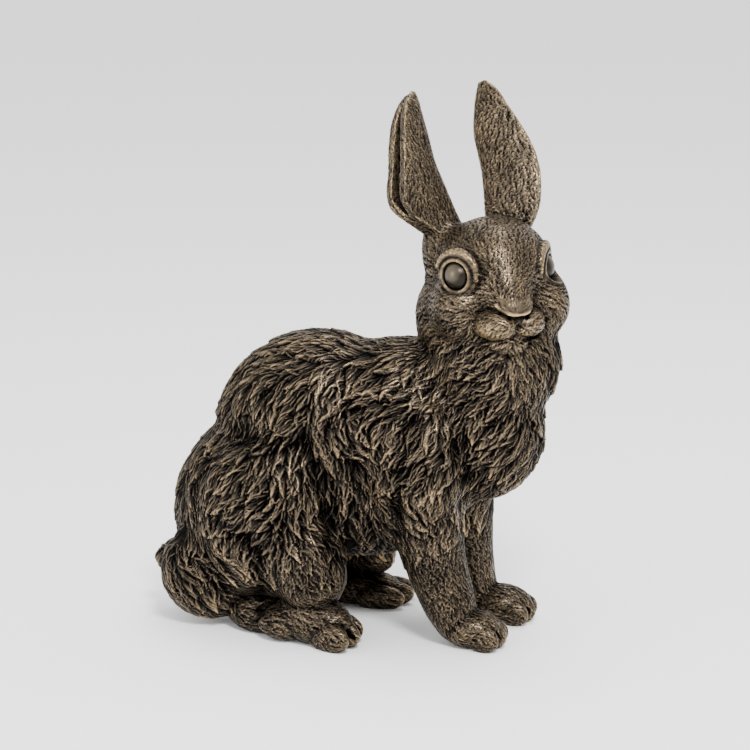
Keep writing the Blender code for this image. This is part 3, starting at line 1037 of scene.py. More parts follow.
@dataclass
class Coat:
    """The lie, length and tufting of the fur all over the skin.

    Attributes:
        guides: The places that say how it lies.
        blur: Distance in millimetres below which a guide's pull no longer grows.
        waves: Waves that the lie runs in: radians that it swings, how fast the wave goes on along x,
            y and z, and where it starts.
        lie: Direction of the fur at each vertex.
        tuft: How far the big tufts stand proud there.
        length: How long the fur is there, as a share of the flank's.
    """

    guides: tuple[Guide, ...] = COAT
    blur: float = 8.0
    waves: tuple[tuple[float, Triple, float], ...] = (
        (0.30, (0.085, 0.0, 0.05), 0.0),
        (0.24, (-0.04, 0.07, 0.11), 2.0),
    )
    lie: np.ndarray = field(init=False)
    tuft: np.ndarray = field(init=False)
    length: np.ndarray = field(init=False)

    def settle(self, skin: Skin) -> None:
        """Works out the coat at every vertex of a skin.

        Args:
            skin: The carved skin.
        """
        places, lies, tufts, lengths = [], [], [], []
        for guide in self.guides:
            pose = HEAD if guide.on_head else UPRIGHT
            for sign in (1, -1) if guide.place[1] else (1,):
                mirror = Matrix.Diagonal((1, sign, 1, 1))
                places.append((pose @ mirror @ Vector(guide.place))[:])
                lies.append((pose.to_3x3() @ mirror.to_3x3() @ Vector(guide.lie).normalized())[:])
                tufts.append(guide.tuft)
                lengths.append(guide.length.value)
        places, lies = np.array(places), np.array(lies)
        away = (skin.points**2).sum(1)[:, None] + (places**2).sum(1)[None] - 2 * skin.points @ places.T
        weight = 1 / (np.maximum(away, 0) + self.blur**2) ** 2
        weight /= weight.sum(1)[:, None]
        self.lie = self.level(self.waved(weight @ lies, skin), skin.normals)
        self.tuft = weight @ np.array(tufts)
        self.length = weight @ np.array(lengths)

    @staticmethod
    def level(lie: np.ndarray, normals: np.ndarray) -> np.ndarray:
        """Lays directions flat on the skin, as unit vectors."""
        flat = lie - normals * (lie * normals).sum(1)[:, None]
        return flat / np.maximum(np.linalg.norm(flat, axis=1), 1e-6)[:, None]

    def waved(self, lie: np.ndarray, skin: Skin) -> np.ndarray:
        """Turns the lie a little to and fro, so that the fur runs in waves.

        Args:
            lie: Directions before the waves.
            skin: The skin that they lie on.

        Returns:
            The turned directions.
        """
        swing = sum(size * np.sin(skin.points @ pitch + start) for size, pitch, start in self.waves)
        return lie + np.cross(skin.normals, lie) * swing[:, None]


@dataclass(frozen=True)
class LockStyle:
    """One size of lock that the comb raises.

    Attributes:
        length: Length of a lock on the longest fur.
        width: Its width there.
        spacing: Distance between roots there.
        seed: Seed of its random numbers.
        lengths: Least and greatest length of a lock, as shares of the style's.
        widths: The same for its width.
        rises: The same for the height of its tip.
        bend: Greatest bow of its middle line to one side, as a share of its width.
        stray: Greatest angle between a lock and the coat, in radians.
        root: Width of its root, as a share of its full width, and how fast it widens from there.
        point: Share of its length where it starts to narrow, and how late it does so.
        crown: How fast its back rises along it, and how flat its back is across.
        fan: How far the hairs at its edges turn inwards, in radians.
        facing: Least cosine between the skin at its middle and the skin that it may cover.
    """

    length: float
    width: float
    spacing: float
    seed: int
    lengths: tuple[float, float] = (0.75, 1.25)
    widths: tuple[float, float] = (0.75, 1.2)
    rises: tuple[float, float] = (0.7, 1.2)
    bend: float = 1.4
    stray: float = 0.45
    root: tuple[float, float] = (0.55, 1.2)
    point: tuple[float, float] = (0.3, 1.6)
    crown: tuple[float, float] = (0.75, 0.7)
    fan: float = 0.3
    facing: float = 0.15


TUFTS = LockStyle(length=34, width=17, spacing=11.5, seed=7)
LOCKS = LockStyle(length=23, width=8.5, spacing=6.5, seed=11)


@dataclass
class Comb:
    """Raises overlapping locks of fur over a skin.

    Attributes:
        style: The size of its locks.
        least_height: Locks lower than this are left out.
        reach: Size of the cells that a lock's vertices are sought in, as a share of its length.
        least_cell: Least size of those cells, in millimetres.
        relief: Height raised at every vertex.
        lie: Direction of the hairs in the lock that shows at each vertex.
    """

    style: LockStyle
    least_height: float = 0.05
    reach: float = 0.8
    least_cell: float = 2.0
    relief: np.ndarray = field(init=False)
    lie: np.ndarray = field(init=False)

    def comb(self, skin: Skin, coat: Coat, height: np.ndarray, scale: np.ndarray) -> None:
        """Raises the locks, without moving the skin yet.

        Args:
            skin: The skin that the fur grows on.
            coat: How the fur lies.
            height: How far a lock's tip stands proud, at each vertex.
            scale: The locks' size at each vertex, as a share of the style's.
        """
        self.relief, self.lie = np.zeros(len(skin.points)), coat.lie.copy()
        rng = np.random.default_rng(self.style.seed)
        roots = scattered(skin.points, self.style.spacing * scale, rng)
        roots = roots[height[roots] > self.least_height]
        sizes = np.round(scale[roots], 1)
        for size in np.unique(sizes):
            cells = Buckets(skin.points, max(self.style.length * size * self.reach, self.least_cell))
            for root in roots[sizes == size]:
                near = cells.around(skin.points[root])
                self.raise_lock(skin, coat, root, near, height[root], scale[root], rng)

    def raise_lock(
        self,
        skin: Skin,
        coat: Coat,
        root: int,
        near: np.ndarray,
        height: float,
        scale: float,
        rng: np.random.Generator,
    ) -> None:
        """Raises one lock.

        Args:
            skin: The skin that it grows on.
            coat: How the fur lies.
            root: The vertex at the lock's middle.
            near: The vertices that it may cover.
            height: How far its tip stands proud.
            scale: Its size, as a share of the style's.
            rng: The style's random numbers.
        """
        style = self.style
        length = style.length * scale * rng.uniform(*style.lengths)
        width = style.width * scale * rng.uniform(*style.widths)
        bend = width * rng.uniform(-style.bend, style.bend)
        stray, rise = rng.uniform(-style.stray, style.stray), rng.uniform(*style.rises)
        normal = skin.normals[root]
        lie = coat.lie[root] + np.cross(normal, coat.lie[root]) * stray
        lie /= np.linalg.norm(lie)
        sideways = np.cross(normal, lie)
        offset = skin.points[near] - skin.points[root]
        along = offset @ lie / length + 0.5
        pointed = 1 - np.clip((along - style.point[0]) / (1 - style.point[0]), 0, 1) ** style.point[1]
        half = 0.5 * width * np.clip(style.root[0] + style.root[1] * along, 0, 1) * pointed + 1e-6
        share = (offset @ sideways - bend * (along - 0.5) ** 2) / half
        covers = (along > 0) & (along < 1) & (abs(share) < 1) & (abs(offset @ normal) < 0.5 * length)
        covers &= (skin.normals[near] @ normal) > style.facing
        near, along, share = near[covers], along[covers], share[covers]
        raised = height * rise * along ** style.crown[0] * (1 - share**2) ** style.crown[1]
        higher = raised > self.relief[near]
        near, along, share = near[higher], along[higher], share[higher]
        self.relief[near] = raised[higher]
        sway = 2 * bend * (along - 0.5) / length - style.fan * share * along
        self.lie[near] = lie + sideways * sway[:, None]


CELL_RATIO = 1.25
CELL_PER_SPACING = 1.2
CELLS_IN_ROW = 4096


def scattered(points: np.ndarray, spacing: np.ndarray, rng: np.random.Generator) -> np.ndarray:
    """Scatters roots over the skin: one vertex from each cell of a grid as coarse as asked.

    Each grid's cells are CELL_RATIO times as wide as those of the next finer one, and they are
    CELL_PER_SPACING times as wide as the spacing, because a root may stand anywhere in its cell.

    Args:
        points: The vertices' places.
        spacing: Distance between roots, at each vertex.
        rng: Random numbers.

    Returns:
        The chosen vertices.
    """
    order = rng.permutation(len(points))
    steps = np.round(np.log(spacing) / math.log(CELL_RATIO))[order]
    chosen = []
    for step in np.unique(steps):
        group = order[steps == step]
        cells = np.floor(points[group] / (CELL_PER_SPACING * CELL_RATIO**step))
        chosen.append(group[np.unique(Buckets.keys(cells.astype(np.int64)), return_index=True)[1]])
    return rng.permutation(np.concatenate(chosen))


@dataclass
class Buckets:
    """Vertices sorted into cells, so that those near a place are found at once.

    Attributes:
        points: The places.
        cell: Size of a cell.
        spans: For each cell's key, where its vertices start and end in the order.
        order: The vertices, sorted by cell.
    """

    points: np.ndarray
    cell: float
    spans: dict[int, tuple[int, int]] = field(init=False)
    order: np.ndarray = field(init=False)

    def __post_init__(self) -> None:
        """Sorts the places into cells."""
        keys = self.keys(np.floor(self.points / self.cell).astype(np.int64))
        self.order = np.argsort(keys, kind="stable")
        values, first = np.unique(keys[self.order], return_index=True)
        last = np.append(first[1:], len(keys))
        self.spans = dict(zip(values.tolist(), zip(first.tolist(), last.tolist())))

    @staticmethod
    def keys(cells: np.ndarray) -> np.ndarray:
        """One whole number for each cell, whose steps from the origin are fewer than half a row."""
        x, y, z = (cells[..., axis] + CELLS_IN_ROW // 2 for axis in range(3))
        return (x * CELLS_IN_ROW + y) * CELLS_IN_ROW + z

    def around(self, place: np.ndarray) -> np.ndarray:
        """Finds the vertices in the cell of a place and in the 26 cells round it.

        Args:
            place: The place.

        Returns:
            The vertices.
        """
        middle = np.floor(place / self.cell).astype(np.int64)
        steps = np.array([(x, y, z) for x in (-1, 0, 1) for y in (-1, 0, 1) for z in (-1, 0, 1)])
        found = [self.spans.get(key) for key in self.keys(middle + steps).tolist()]
        return np.concatenate([self.order[span[0] : span[1]] for span in found if span])


@dataclass(frozen=True)
class HairStyle:
    """The engraver's strokes that break the locks up into hairs.

    Attributes:
        length: Length of a stroke on the longest fur.
        width: Its width there.
        height: How far it stands proud there.
        crowding: How many strokes cover each place.
        stray: Greatest angle between a stroke and its lock, in radians.
        curl: Greatest turn along a stroke, in radians.
        step: Distance between the places where a stroke is pressed on.
        seed: Seed of its random numbers.
        lengths: Least and greatest length of a stroke, as shares of the style's.
        widths: The same for its width.
        rises: The same for its height.
        finest: Width of a stroke on the shortest fur, as a share of the style's.
        root: Height of a stroke's root, as a share of its tip's.
    """

    length: float = 12.5
    width: float = 2.2
    height: float = 0.95
    crowding: float = 3.0
    stray: float = 0.4
    curl: float = 1.1
    step: float = 0.7
    seed: int = 23
    lengths: tuple[float, float] = (0.6, 1.3)
    widths: tuple[float, float] = (0.8, 1.2)
    rises: tuple[float, float] = (0.55, 1.0)
    finest: float = 0.35
    root: float = 0.35


@dataclass
class Hair:
    """Draws strokes over the skin that follow the locks and lie over each other.

    Attributes:
        style: The strokes' sizes.
        relief: Height raised at every vertex, as a share of the stroke's full height.
    """

    style: HairStyle
    relief: np.ndarray = field(init=False)

    def draw(self, skin: Skin, lie: np.ndarray, scale: np.ndarray) -> None:
        """Draws every stroke, all of them one step at a time.

        Args:
            skin: The skin.
            lie: Direction of the hairs at each vertex, flat on the skin.
            scale: Size of the strokes at each vertex, as a share of the style's.
        """
        style = self.style
        rng = np.random.default_rng(style.seed)
        lengths = style.length * scale
        widths = style.width * (style.finest + (1 - style.finest) * scale)
        at = scattered(skin.points, np.sqrt(lengths * widths / style.crowding) / CELL_PER_SPACING, rng)
        count = len(at)
        length = lengths[at] * rng.uniform(*style.lengths, count)
        half = 0.5 * widths[at] * rng.uniform(*style.widths, count)
        rise, stray = rng.uniform(*style.rises, count), rng.uniform(-style.stray, style.stray, count)
        curl = rng.uniform(-style.curl, style.curl, count)
        self.relief = np.zeros(len(skin.points))
        place = skin.points[at]
        for k in range(int(length.max() / style.step)):
            share = k * style.step / length
            alive = share < 1
            at, place, length, half = at[alive], place[alive], length[alive], half[alive]
            rise, stray, curl, share = rise[alive], stray[alive], curl[alive], share[alive]
            heading = lie[at]
            sideways = np.cross(skin.normals[at], heading)
            heading = heading + sideways * (stray + curl * (share - 0.5))[:, None]
            heading /= np.linalg.norm(heading, axis=1)[:, None]
            narrowed, raised = half * np.sqrt(1 - share**3), rise * (style.root + (1 - style.root) * share)
            self.press(skin, at, place, heading, narrowed, raised)
            place = place + heading * style.step
            at, place = self.settled(skin, at, place)

    def press(
        self,
        skin: Skin,
        at: np.ndarray,
        place: np.ndarray,
        heading: np.ndarray,
        half: np.ndarray,
        rise: np.ndarray,
    ) -> None:
        """Presses one step of each stroke on, keeping whichever stroke stands higher.

        Args:
            skin: The skin.
            at: The vertex nearest to each stroke's present place.
            place: The present places.
            heading: The strokes' directions.
            half: Half their widths.
            rise: Their heights.
        """
        near = skin.near[at]
        offset = skin.points[near] - place[:, None]
        along = (offset * heading[:, None]).sum(2)
        across = np.maximum((offset**2).sum(2) - along**2, 0)
        raised = rise[:, None] * (1 - across / (half**2)[:, None])
        raised[abs(along) > self.style.step] = 0
        near, raised = near.ravel(), raised.ravel()
        higher = raised > self.relief[near]
        near, raised = near[higher], raised[higher]
        order = np.argsort(raised, kind="stable")
        self.relief[near[order]] = raised[order]

    @staticmethod
    def settled(skin: Skin, at: np.ndarray, place: np.ndarray) -> tuple[np.ndarray, np.ndarray]:
        """Finds each place's nearest vertex, and lays the place flat on the skin there.

        Args:
            skin: The skin.
            at: The vertex that was nearest one step before.
            place: The places.

        Returns:
            The nearest vertices and the flattened places.
        """
        near = skin.near[at]
        away = ((skin.points[near] - place[:, None]) ** 2).sum(2)
        at = near[np.arange(len(at)), away.argmin(1)]
        lift = ((place - skin.points[at]) * skin.normals[at]).sum(1)
        return at, place - skin.normals[at] * lift[:, None]


def add_node(
    tree: bpy.types.NodeTree, kind: str, values: dict[str, float | tuple[float, ...]] | None = None
) -> bpy.types.Node:
    """Adds a shader node.

    Args:
        tree: The tree that it goes into.
        kind: Its type.
        values: Constant values of its inputs, by name.

    Returns:
        The node.
    """
    node = tree.nodes.new(kind)
    for name, value in (values or {}).items():
        node.inputs[name].default_value = value
    return node


@dataclass(frozen=True)
class CastingGrain:
    """The uneven tone and fine pitting that all of the casting shares, as a node group.

    Attributes:
        name: The group's name.
        clouds: Scale and detail of the uneven tone.
        pits: Scale and detail of the pitting.
        pit_depth: Depth of the pits, in metres.
    """

    name: str = "casting_grain"
    clouds: tuple[float, float] = (60.0, 4.0)
    pits: tuple[float, float] = (1400.0, 2.0)
    pit_depth: float = 0.0002

    def group(self) -> bpy.types.NodeTree:
        """Builds the group, once.

        Returns:
            The group: it turns wear and painted light into a tone that is mottled, and gives a pitted normal.
        """
        if self.name in bpy.data.node_groups:
            return bpy.data.node_groups[self.name]
        group = bpy.data.node_groups.new(self.name, "ShaderNodeTree")
        for name in ("Wear", "Mottling", "Pitting"):
            group.interface.new_socket(name, in_out="INPUT", socket_type="NodeSocketFloat")
        group.interface.new_socket("Tone", in_out="OUTPUT", socket_type="NodeSocketFloat")
        group.interface.new_socket("Normal", in_out="OUTPUT", socket_type="NodeSocketVector")
        given, ends = add_node(group, "NodeGroupInput"), add_node(group, "NodeGroupOutput")
        place = add_node(group, "ShaderNodeTexCoord")
        clouds, pits = (
            add_node(group, "ShaderNodeTexNoise", {"Scale": scale, "Detail": detail})
            for scale, detail in (self.clouds, self.pits)
        )
        mottled = add_node(group, "ShaderNodeMath")
        mottled.operation = "MULTIPLY_ADD"
        bump = add_node(group, "ShaderNodeBump", {"Distance": self.pit_depth})
        for source, target in (
            (place.outputs["Object"], clouds.inputs["Vector"]),
            (place.outputs["Object"], pits.inputs["Vector"]),
            (clouds.outputs["Fac"], mottled.inputs[0]),
            (given.outputs["Mottling"], mottled.inputs[1]),
            (given.outputs["Wear"], mottled.inputs[2]),
            (mottled.outputs[0], ends.inputs["Tone"]),
            (given.outputs["Pitting"], bump.inputs["Strength"]),
            (pits.outputs["Fac"], bump.inputs["Height"]),
            (bump.outputs["Normal"], ends.inputs["Normal"]),
        ):
            group.links.new(source, target)
        return group

    def over_wear_and_painted_light(self, tree: bpy.types.NodeTree, mottling: float, pitting: float) -> bpy.types.Node:
        """Places the group in a material, over the wear and painted light that the mesh stores.

        Args:
            tree: The material's tree.
            mottling: How uneven the tone is.
            pitting: How strong the pitting is.

        Returns:
            The group's node, with its Tone and Normal outputs.
        """
        wear = add_node(tree, "ShaderNodeAttribute")
        wear.attribute_name = "wear"
        grain = tree.nodes.new("ShaderNodeGroup")
        grain.node_tree = self.group()
        grain.inputs["Mottling"].default_value = mottling
        grain.inputs["Pitting"].default_value = pitting
        tree.links.new(wear.outputs["Fac"], grain.inputs["Wear"])
        return grain


@dataclass(frozen=True)
class BronzeFinish:
    """Cast bronze with a dark patina that handling has rubbed off the high places.

    Attributes:
        name: The material's name.
        stops: The colours from the deepest hollows and painted shade to bare rubbed metal, each with the
            tone that it stands at.
        metallic: How metallic it is.
        rough: Roughness of the patina and of the rubbed metal.
        rough_tones: The tones that roughness runs between.
        sheen_tones: The tones between which the surface starts to shine at grazing angles.
        mottling: How uneven its tone is.
        pitting: How strong its pitting is.
    """

    name: str = "patinated_bronze"
    stops: tuple[tuple[float, Triple], ...] = (
        (0.18, (0.0008, 0.0006, 0.0005)),
        (0.42, (0.0115, 0.0090, 0.0066)),
        (0.68, (0.096, 0.071, 0.044)),
        (1.0, (0.480, 0.325, 0.150)),
    )
    metallic: float = 0.8
    rough: tuple[float, float] = (0.56, 0.30)
    rough_tones: tuple[float, float] = (0.3, 0.9)
    sheen_tones: tuple[float, float] = (0.2, 0.65)
    mottling: float = 0.3
    pitting: float = 0.5

    def material(self) -> bpy.types.Material:
        """Builds the node material.

        Returns:
            The finished material.
        """
        material = bpy.data.materials.new(self.name)
        material.use_nodes = True
        tree = material.node_tree
        shader = tree.nodes["Principled BSDF"]
        shader.inputs["Metallic"].default_value = self.metallic
        grain = CastingGrain().over_wear_and_painted_light(tree, self.mottling, self.pitting)
        ramp = add_node(tree, "ShaderNodeValToRGB")
        while len(ramp.color_ramp.elements) < len(self.stops):
            ramp.color_ramp.elements.new(0.5)
        for element, (place, colour) in zip(ramp.color_ramp.elements, self.stops):
            element.position = place
            element.color = (*colour, 1.0)
        rough, sheen = (
            add_node(
                tree,
                "ShaderNodeMapRange",
                {"From Min": low, "From Max": high, "To Min": first, "To Max": last},
            )
            for (low, high), (first, last) in ((self.rough_tones, self.rough), (self.sheen_tones, (0.0, 1.0)))
        )
        for source, target in (
            (grain.outputs["Tone"], ramp.inputs["Fac"]),
            (grain.outputs["Tone"], rough.inputs["Value"]),
            (grain.outputs["Tone"], sheen.inputs["Value"]),
            (ramp.outputs["Color"], shader.inputs["Base Color"]),
            (rough.outputs["Result"], shader.inputs["Roughness"]),
            (sheen.outputs["Result"], shader.inputs["Specular Tint"]),
            (grain.outputs["Normal"], shader.inputs["Normal"]),
        ):
            tree.links.new(source, target)
        return material


@dataclass(frozen=True)
class EyeFinish:
    """The smooth bronze of the eyeballs, with a painted highlight and painted shade.

    Attributes:
        name: The material's name.
        light: Colour of the painted highlight.
        dark: Colour of the painted shade, away from the highlight.
        metallic: How metallic it is.
        roughness: Its roughness.
        mottling: How uneven its tone is.
        pitting: How strong its pitting is.
    """

    name: str = "smooth_eye_bronze"
    light: Triple = (0.105, 0.086, 0.062)
    dark: Triple = (0.010, 0.0075, 0.005)
    metallic: float = 0.8
    roughness: float = 0.3
    mottling: float = 0.3
    pitting: float = 0.5

    def material(self) -> bpy.types.Material:
        """Builds the node material.

        Returns:
            The finished material.
        """
        material = bpy.data.materials.new(self.name)
        material.use_nodes = True
        tree = material.node_tree
        shader = tree.nodes["Principled BSDF"]
        shader.inputs["Metallic"].default_value = self.metallic
        shader.inputs["Roughness"].default_value = self.roughness
        grain = CastingGrain().over_wear_and_painted_light(tree, self.mottling, self.pitting)
        # Mixes the painted shade into the painted highlight by the tone that the ball stores.
        blend = tree.nodes.new("ShaderNodeMix")
        blend.data_type = "RGBA"
        blend.inputs["A"].default_value = (*self.dark, 1.0)
        blend.inputs["B"].default_value = (*self.light, 1.0)
        tree.links.new(grain.outputs["Tone"], blend.inputs["Factor"])
        tree.links.new(blend.outputs["Result"], shader.inputs["Base Color"])
        tree.links.new(grain.outputs["Normal"], shader.inputs["Normal"])
        return material


def turned(plane: Plane) -> Plane:
    """The same plane, facing the other way."""
    place, outward = plane
    return place, tuple(-value for value in outward)


@dataclass(frozen=True)
class Touch:
    """A stretch of the face that hands rub, or that is darker than elsewhere.

    Attributes:
        path: Where it runs on the face, on the left side. It counts once for each side.
        width: How far from its path it fades.
        wear: How much it is rubbed; below zero where it is darker than elsewhere.
    """

    path: Path
    width: float
    wear: float


@dataclass
class Patina:
    """Works out where the patina is worn, from the carving and from where hands reach, and paints
    shade under the chin and in the eyes' sockets.

    Attributes:
        skull: The head's features, whose high places are rubbed.
        base: Wear of a plain place.
        by_hair: How much the top of a hair gains over the gap beside it.
        by_lock: How much the top of a lock gains.
        by_edge: How much a place gains for each millimetre that it stands out of the fine surface.
        by_form: The same for the smooth form beneath the fur.
        by_hand_and_painted_shade: How much a place gains where hands rub it most, and loses in painted shade.
        by_groove: How much a place loses for each millimetre that a groove is deep.
        by_height: How much the ears gain, and the feet lose, over the shoulders.
        edge_rounds: Rounds of blurring that an edge has to stand out of.
        edge_reach: Greatest height of an edge that counts, in millimetres.
        form_reach: The same for the smooth form, in hollows and on high places.
        groove_reach: The same for ridges and grooves.
        shoulders: Height of the shoulders, and how far over them the gain is in full.
        touches: What hands rub and what is darker, such as painted shade, in the order that it is laid over.
        lid: How far the rubbed edge of the lids stands over their plane, its width and its wear.
        brow: Distance of the brow's ridge from the eye's axis, its height over the lids' plane, its
            width and its wear.
        gap: How far inside the lids the dark groove round the ball starts, how far it reaches up and
            down, and its wear, below zero: dark patina and painted shade.
    """

    skull: Skull
    base: float = 0.165
    by_hair: float = 0.45
    by_lock: float = 0.18
    by_edge: float = 0.9
    by_form: float = 0.05
    by_hand_and_painted_shade: float = 0.45
    by_groove: float = 0.13
    by_height: float = 0.035
    edge_rounds: int = 2
    edge_reach: float = 0.25
    form_reach: tuple[float, float] = (-1.5, 1.0)
    groove_reach: tuple[float, float] = (-1.0, 2.0)
    shoulders: tuple[float, float] = (210, 100)
    touches: tuple[Touch, ...] = (
        Touch(NOSE_EDGE, 2.2, 1.1),
        Touch(((30, 0, -20), (25, 8, -16)), 4.5, 0.7),
        # Slightly darker along the middle of the forehead and down the bridge of the nose.
        Touch(((-12, 0, 36), (8, 0, 16), (20, 0, 0)), 7.0, -0.08),
        # Darker patina and painted shade under the chin.
        Touch(((16, 4, -52), (4, 14, -52)), 7.0, -0.5),
        Touch(((28, 7, -36), (20, 18, -37)), 8.0, 0.4),
    )
    lid: Triple = (1.2, 1.2, 0.45)
    brow: tuple[float, float, float, float] = (16.5, 1.0, 2.6, 0.5)
    gap: Triple = (1.2, 8.0, -0.8)

    def wear(self, skin: Skin, form: np.ndarray, lock: np.ndarray, hair: np.ndarray) -> np.ndarray:
        """How far the patina is worn at each vertex, with its painted shade.

        Args:
            skin: The combed skin.
            form: How far the smooth form stands out there.
            lock: Height of the locks, as a share of the highest.
            hair: Height of the hairs, as a share of the highest.

        Returns:
            A number for each vertex: about 0 in hollows and painted shade, and 1 where the metal is bare.
        """
        edge = np.clip(skin.bulge(self.edge_rounds), -self.edge_reach, self.edge_reach)
        wear = self.base + self.by_hair * hair + self.by_lock * lock + self.by_edge * edge
        wear += self.by_form * np.clip(form, *self.form_reach) + self.by_hand_and_painted_shade * self.handled_and_painted_shade(skin)
        wear += self.by_height * np.clip((skin.points[:, 2] - self.shoulders[0]) / self.shoulders[1], -1, 1)
        return wear - self.by_groove * np.clip(skin.pressed, *self.groove_reach)

    def handled_and_painted_shade(self, skin: Skin) -> np.ndarray:
        """Works out how much each place is rubbed by hands: lids, brows, nose and whisker pads. It also
        paints shade under the chin and in the eyes' sockets, and darkens the forehead's middle.

        Args:
            skin: The combed skin.

        Returns:
            A number for each vertex: 0 on a plain place, and below it in painted shade and on the forehead's
                middle.
        """
        rubbed_and_painted_light = np.zeros(len(skin.points))
        over, lid_width, lid_wear = self.lid
        out, ahead, brow_width, brow_wear = self.brow
        inside, deep, socket_patina_and_shade = self.gap
        for eye in self.skull.eyes:
            height, radius, _ = eye.around(skin.points)
            lid = np.hypot(height - over, radius - eye.lid_radius)
            rubbed_and_painted_light = np.maximum(rubbed_and_painted_light, lid_wear * np.exp(-((lid / lid_width) ** 2)))
            brow = np.hypot(radius - out, height - ahead) + np.clip(-eye.above(skin.points), 0, None)
            rubbed_and_painted_light = np.maximum(rubbed_and_painted_light, brow_wear * np.exp(-((brow / brow_width) ** 2)))
            # Dark patina and painted shade in the eye's socket, in the groove round the ball.
            gap = (abs(height) < deep) & (radius < eye.lid_radius - inside)
            rubbed_and_painted_light = np.where(gap, socket_patina_and_shade, rubbed_and_painted_light)
        for side in Side:
            for touch in self.touches:
                near = skin.near_path(mirrored(touch.path, side), FACE)
                wear = touch.wear * np.exp(-((near / touch.width) ** 2))
                rubbed_and_painted_light = np.maximum(rubbed_and_painted_light, wear) if touch.wear > 0 else rubbed_and_painted_light + wear
        return rubbed_and_painted_light


@dataclass(frozen=True)
class BareSkin:
    """Where the face has little fur or none: the lids, what surrounds them, and the nose.

    Attributes:
        lid: How far from the eye's axis the fur starts below the eye, and how much further out it
            starts above it.
        fade: How far on it is full grown below the eye, and how much further above it.
        brow: How far above the eye's middle the brow is in full, and its share at that middle.
        reach: How far over and under the lids' plane the eye keeps the skin bare.
        nose: The path over the nose that is nearly bare.
        nose_fade: Distance from that path where the fur starts, how far on it is full grown, and its
            least share.
    """

    lid: tuple[float, float] = (12.4, 1.6)
    fade: tuple[float, float] = (2.0, 4.5)
    brow: tuple[float, float] = (8.0, 0.3)
    reach: float = 18
    nose: Path = ((24, -6, -21), (31, 0, -23), (24, 6, -21))
    nose_fade: Triple = (3, 8, 0.2)

    def furriness(self, skin: Skin, eyes: tuple[Eye, ...]) -> np.ndarray:
        """Works out how much fur grows at each vertex.

        Args:
            skin: The carved skin.
            eyes: Both eyes.

        Returns:
            A share for each vertex: none on the lids, little on the nose, 1 on the coat.
        """
        furry = np.ones(len(skin.points))
        for eye in eyes:
            height, radius, _ = eye.around(skin.points)
            brow = np.clip(eye.above(skin.points) / self.brow[0] + self.brow[1], 0, 1)
            start, fade = self.lid[0] + self.lid[1] * brow, self.fade[0] + self.fade[1] * brow
            grown = np.clip((radius - start) / fade, 0, 1)
            furry = np.where(abs(height) < self.reach, np.minimum(furry, grown), furry)
        start, fade, least = self.nose_fade
        return furry * np.clip((skin.near_path(list(self.nose), FACE) - start) / fade, least, 1)


